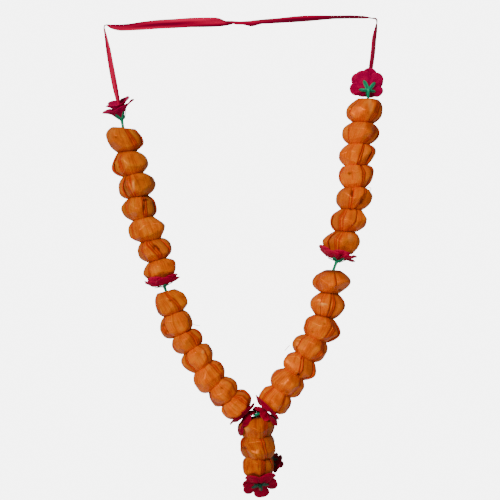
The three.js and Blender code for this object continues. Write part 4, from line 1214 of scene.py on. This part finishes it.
class GARLAND_OT_beads(bpy.types.Operator):
    """Make the folded leaf beads of both strands and the pendant"""

    bl_idname = "garland.beads"
    bl_label = "Beads"

    def execute(self, context):
        material = leaf_material(context.scene.garland_colours)
        for bead in BEADS.values():
            make_bead(bead, material)
        return {"FINISHED"}


class GARLAND_OT_flowers(bpy.types.Operator):
    """Make the cloth flowers with their calyxes and stems"""

    bl_idname = "garland.flowers"
    bl_label = "Flowers"

    def execute(self, context):
        colours = context.scene.garland_colours
        cloth, plastic = cloth_material(colours), plastic_material(colours)
        for flower in BLOOMS.values():
            make_petals(flower, cloth)
            make_calyx(flower, plastic)
        return {"FINISHED"}


class GARLAND_OT_cords(bpy.types.Operator):
    """Make the stringing cords with their knots"""

    bl_idname = "garland.cords"
    bl_label = "Cords"

    def execute(self, context):
        material = cord_material(context.scene.garland_colours)
        for side, tail in TAILS.items():
            top = BLOOMS[f"{side}_top"]
            points = [top.base + top.axis * top.hub] + flower_points(top)
            points += joint_points(STRINGS[f"{side}_upper"]) + flower_points(BLOOMS[f"{side}_middle"])
            points += joint_points(STRINGS[f"{side}_lower"]) + flower_points(BLOOMS[f"{side}_end"])
            points += [array(*p) for p in tail]
            make_cord(f"stringing_cord_{side}", points, material, f"cord_{side}")
        end = BLOOMS["pendant_end"]
        last = end.foot + unit(end.foot - end.neck) * 1.2
        points = [array(*KNOT_CENTRE)] + joint_points(STRINGS["pendant"]) + flower_points(end) + [last]
        knots = ((array(*KNOT_CENTRE), KNOT_RADIUS), (last, END_KNOT_RADIUS))
        make_cord("stringing_cord_pendant", points, material, "cord_pendant", knots)
        return {"FINISHED"}


class GARLAND_OT_ribbon(bpy.types.Operator):
    """Make the satin neck ribbon"""

    bl_idname = "garland.ribbon"
    bl_label = "Ribbon"

    def execute(self, context):
        make_ribbon(ribbon_material(context.scene.garland_colours))
        return {"FINISHED"}


class GARLAND_PT_panel(bpy.types.Panel):
    """Sidebar panel with the garland's pieces"""

    bl_idname = "GARLAND_PT_panel"
    bl_label = "Marigold garland"
    bl_space_type = "VIEW_3D"
    bl_region_type = "UI"
    bl_category = "Garland"

    def draw(self, context):
        for kind in OPERATORS:
            self.layout.operator(kind.bl_idname)
        for group in SETTINGS:
            settings = getattr(context.scene, group)
            for name in settings.bl_rna.properties.keys():
                if name not in ("rna_type", "name"):
                    self.layout.prop(settings, name)


OPERATORS = (GARLAND_OT_stage, GARLAND_OT_beads, GARLAND_OT_flowers, GARLAND_OT_cords, GARLAND_OT_ribbon)
SETTINGS = {"garland_sizes": GarlandSizes, "garland_colours": GarlandColours, "garland_studio": GarlandStudio}
CLASSES = (*SETTINGS.values(), *OPERATORS, GARLAND_PT_panel)


def register():
    """Adds the classes and their settings."""
    for kind in CLASSES:
        bpy.utils.register_class(kind)
    for name, kind in SETTINGS.items():
        setattr(bpy.types.Scene, name, bpy.props.PointerProperty(type=kind))


def unregister():
    """Takes the settings and the classes away again."""
    for name in SETTINGS:
        delattr(bpy.types.Scene, name)
    for kind in reversed(CLASSES):
        bpy.utils.unregister_class(kind)


def main():
    """Makes the garland piece by piece."""
    register()
    for operator in (bpy.ops.garland.stage, bpy.ops.garland.beads, bpy.ops.garland.flowers,
                     bpy.ops.garland.cords, bpy.ops.garland.ribbon):
        operator()


if __name__ == "__main__":
    main()
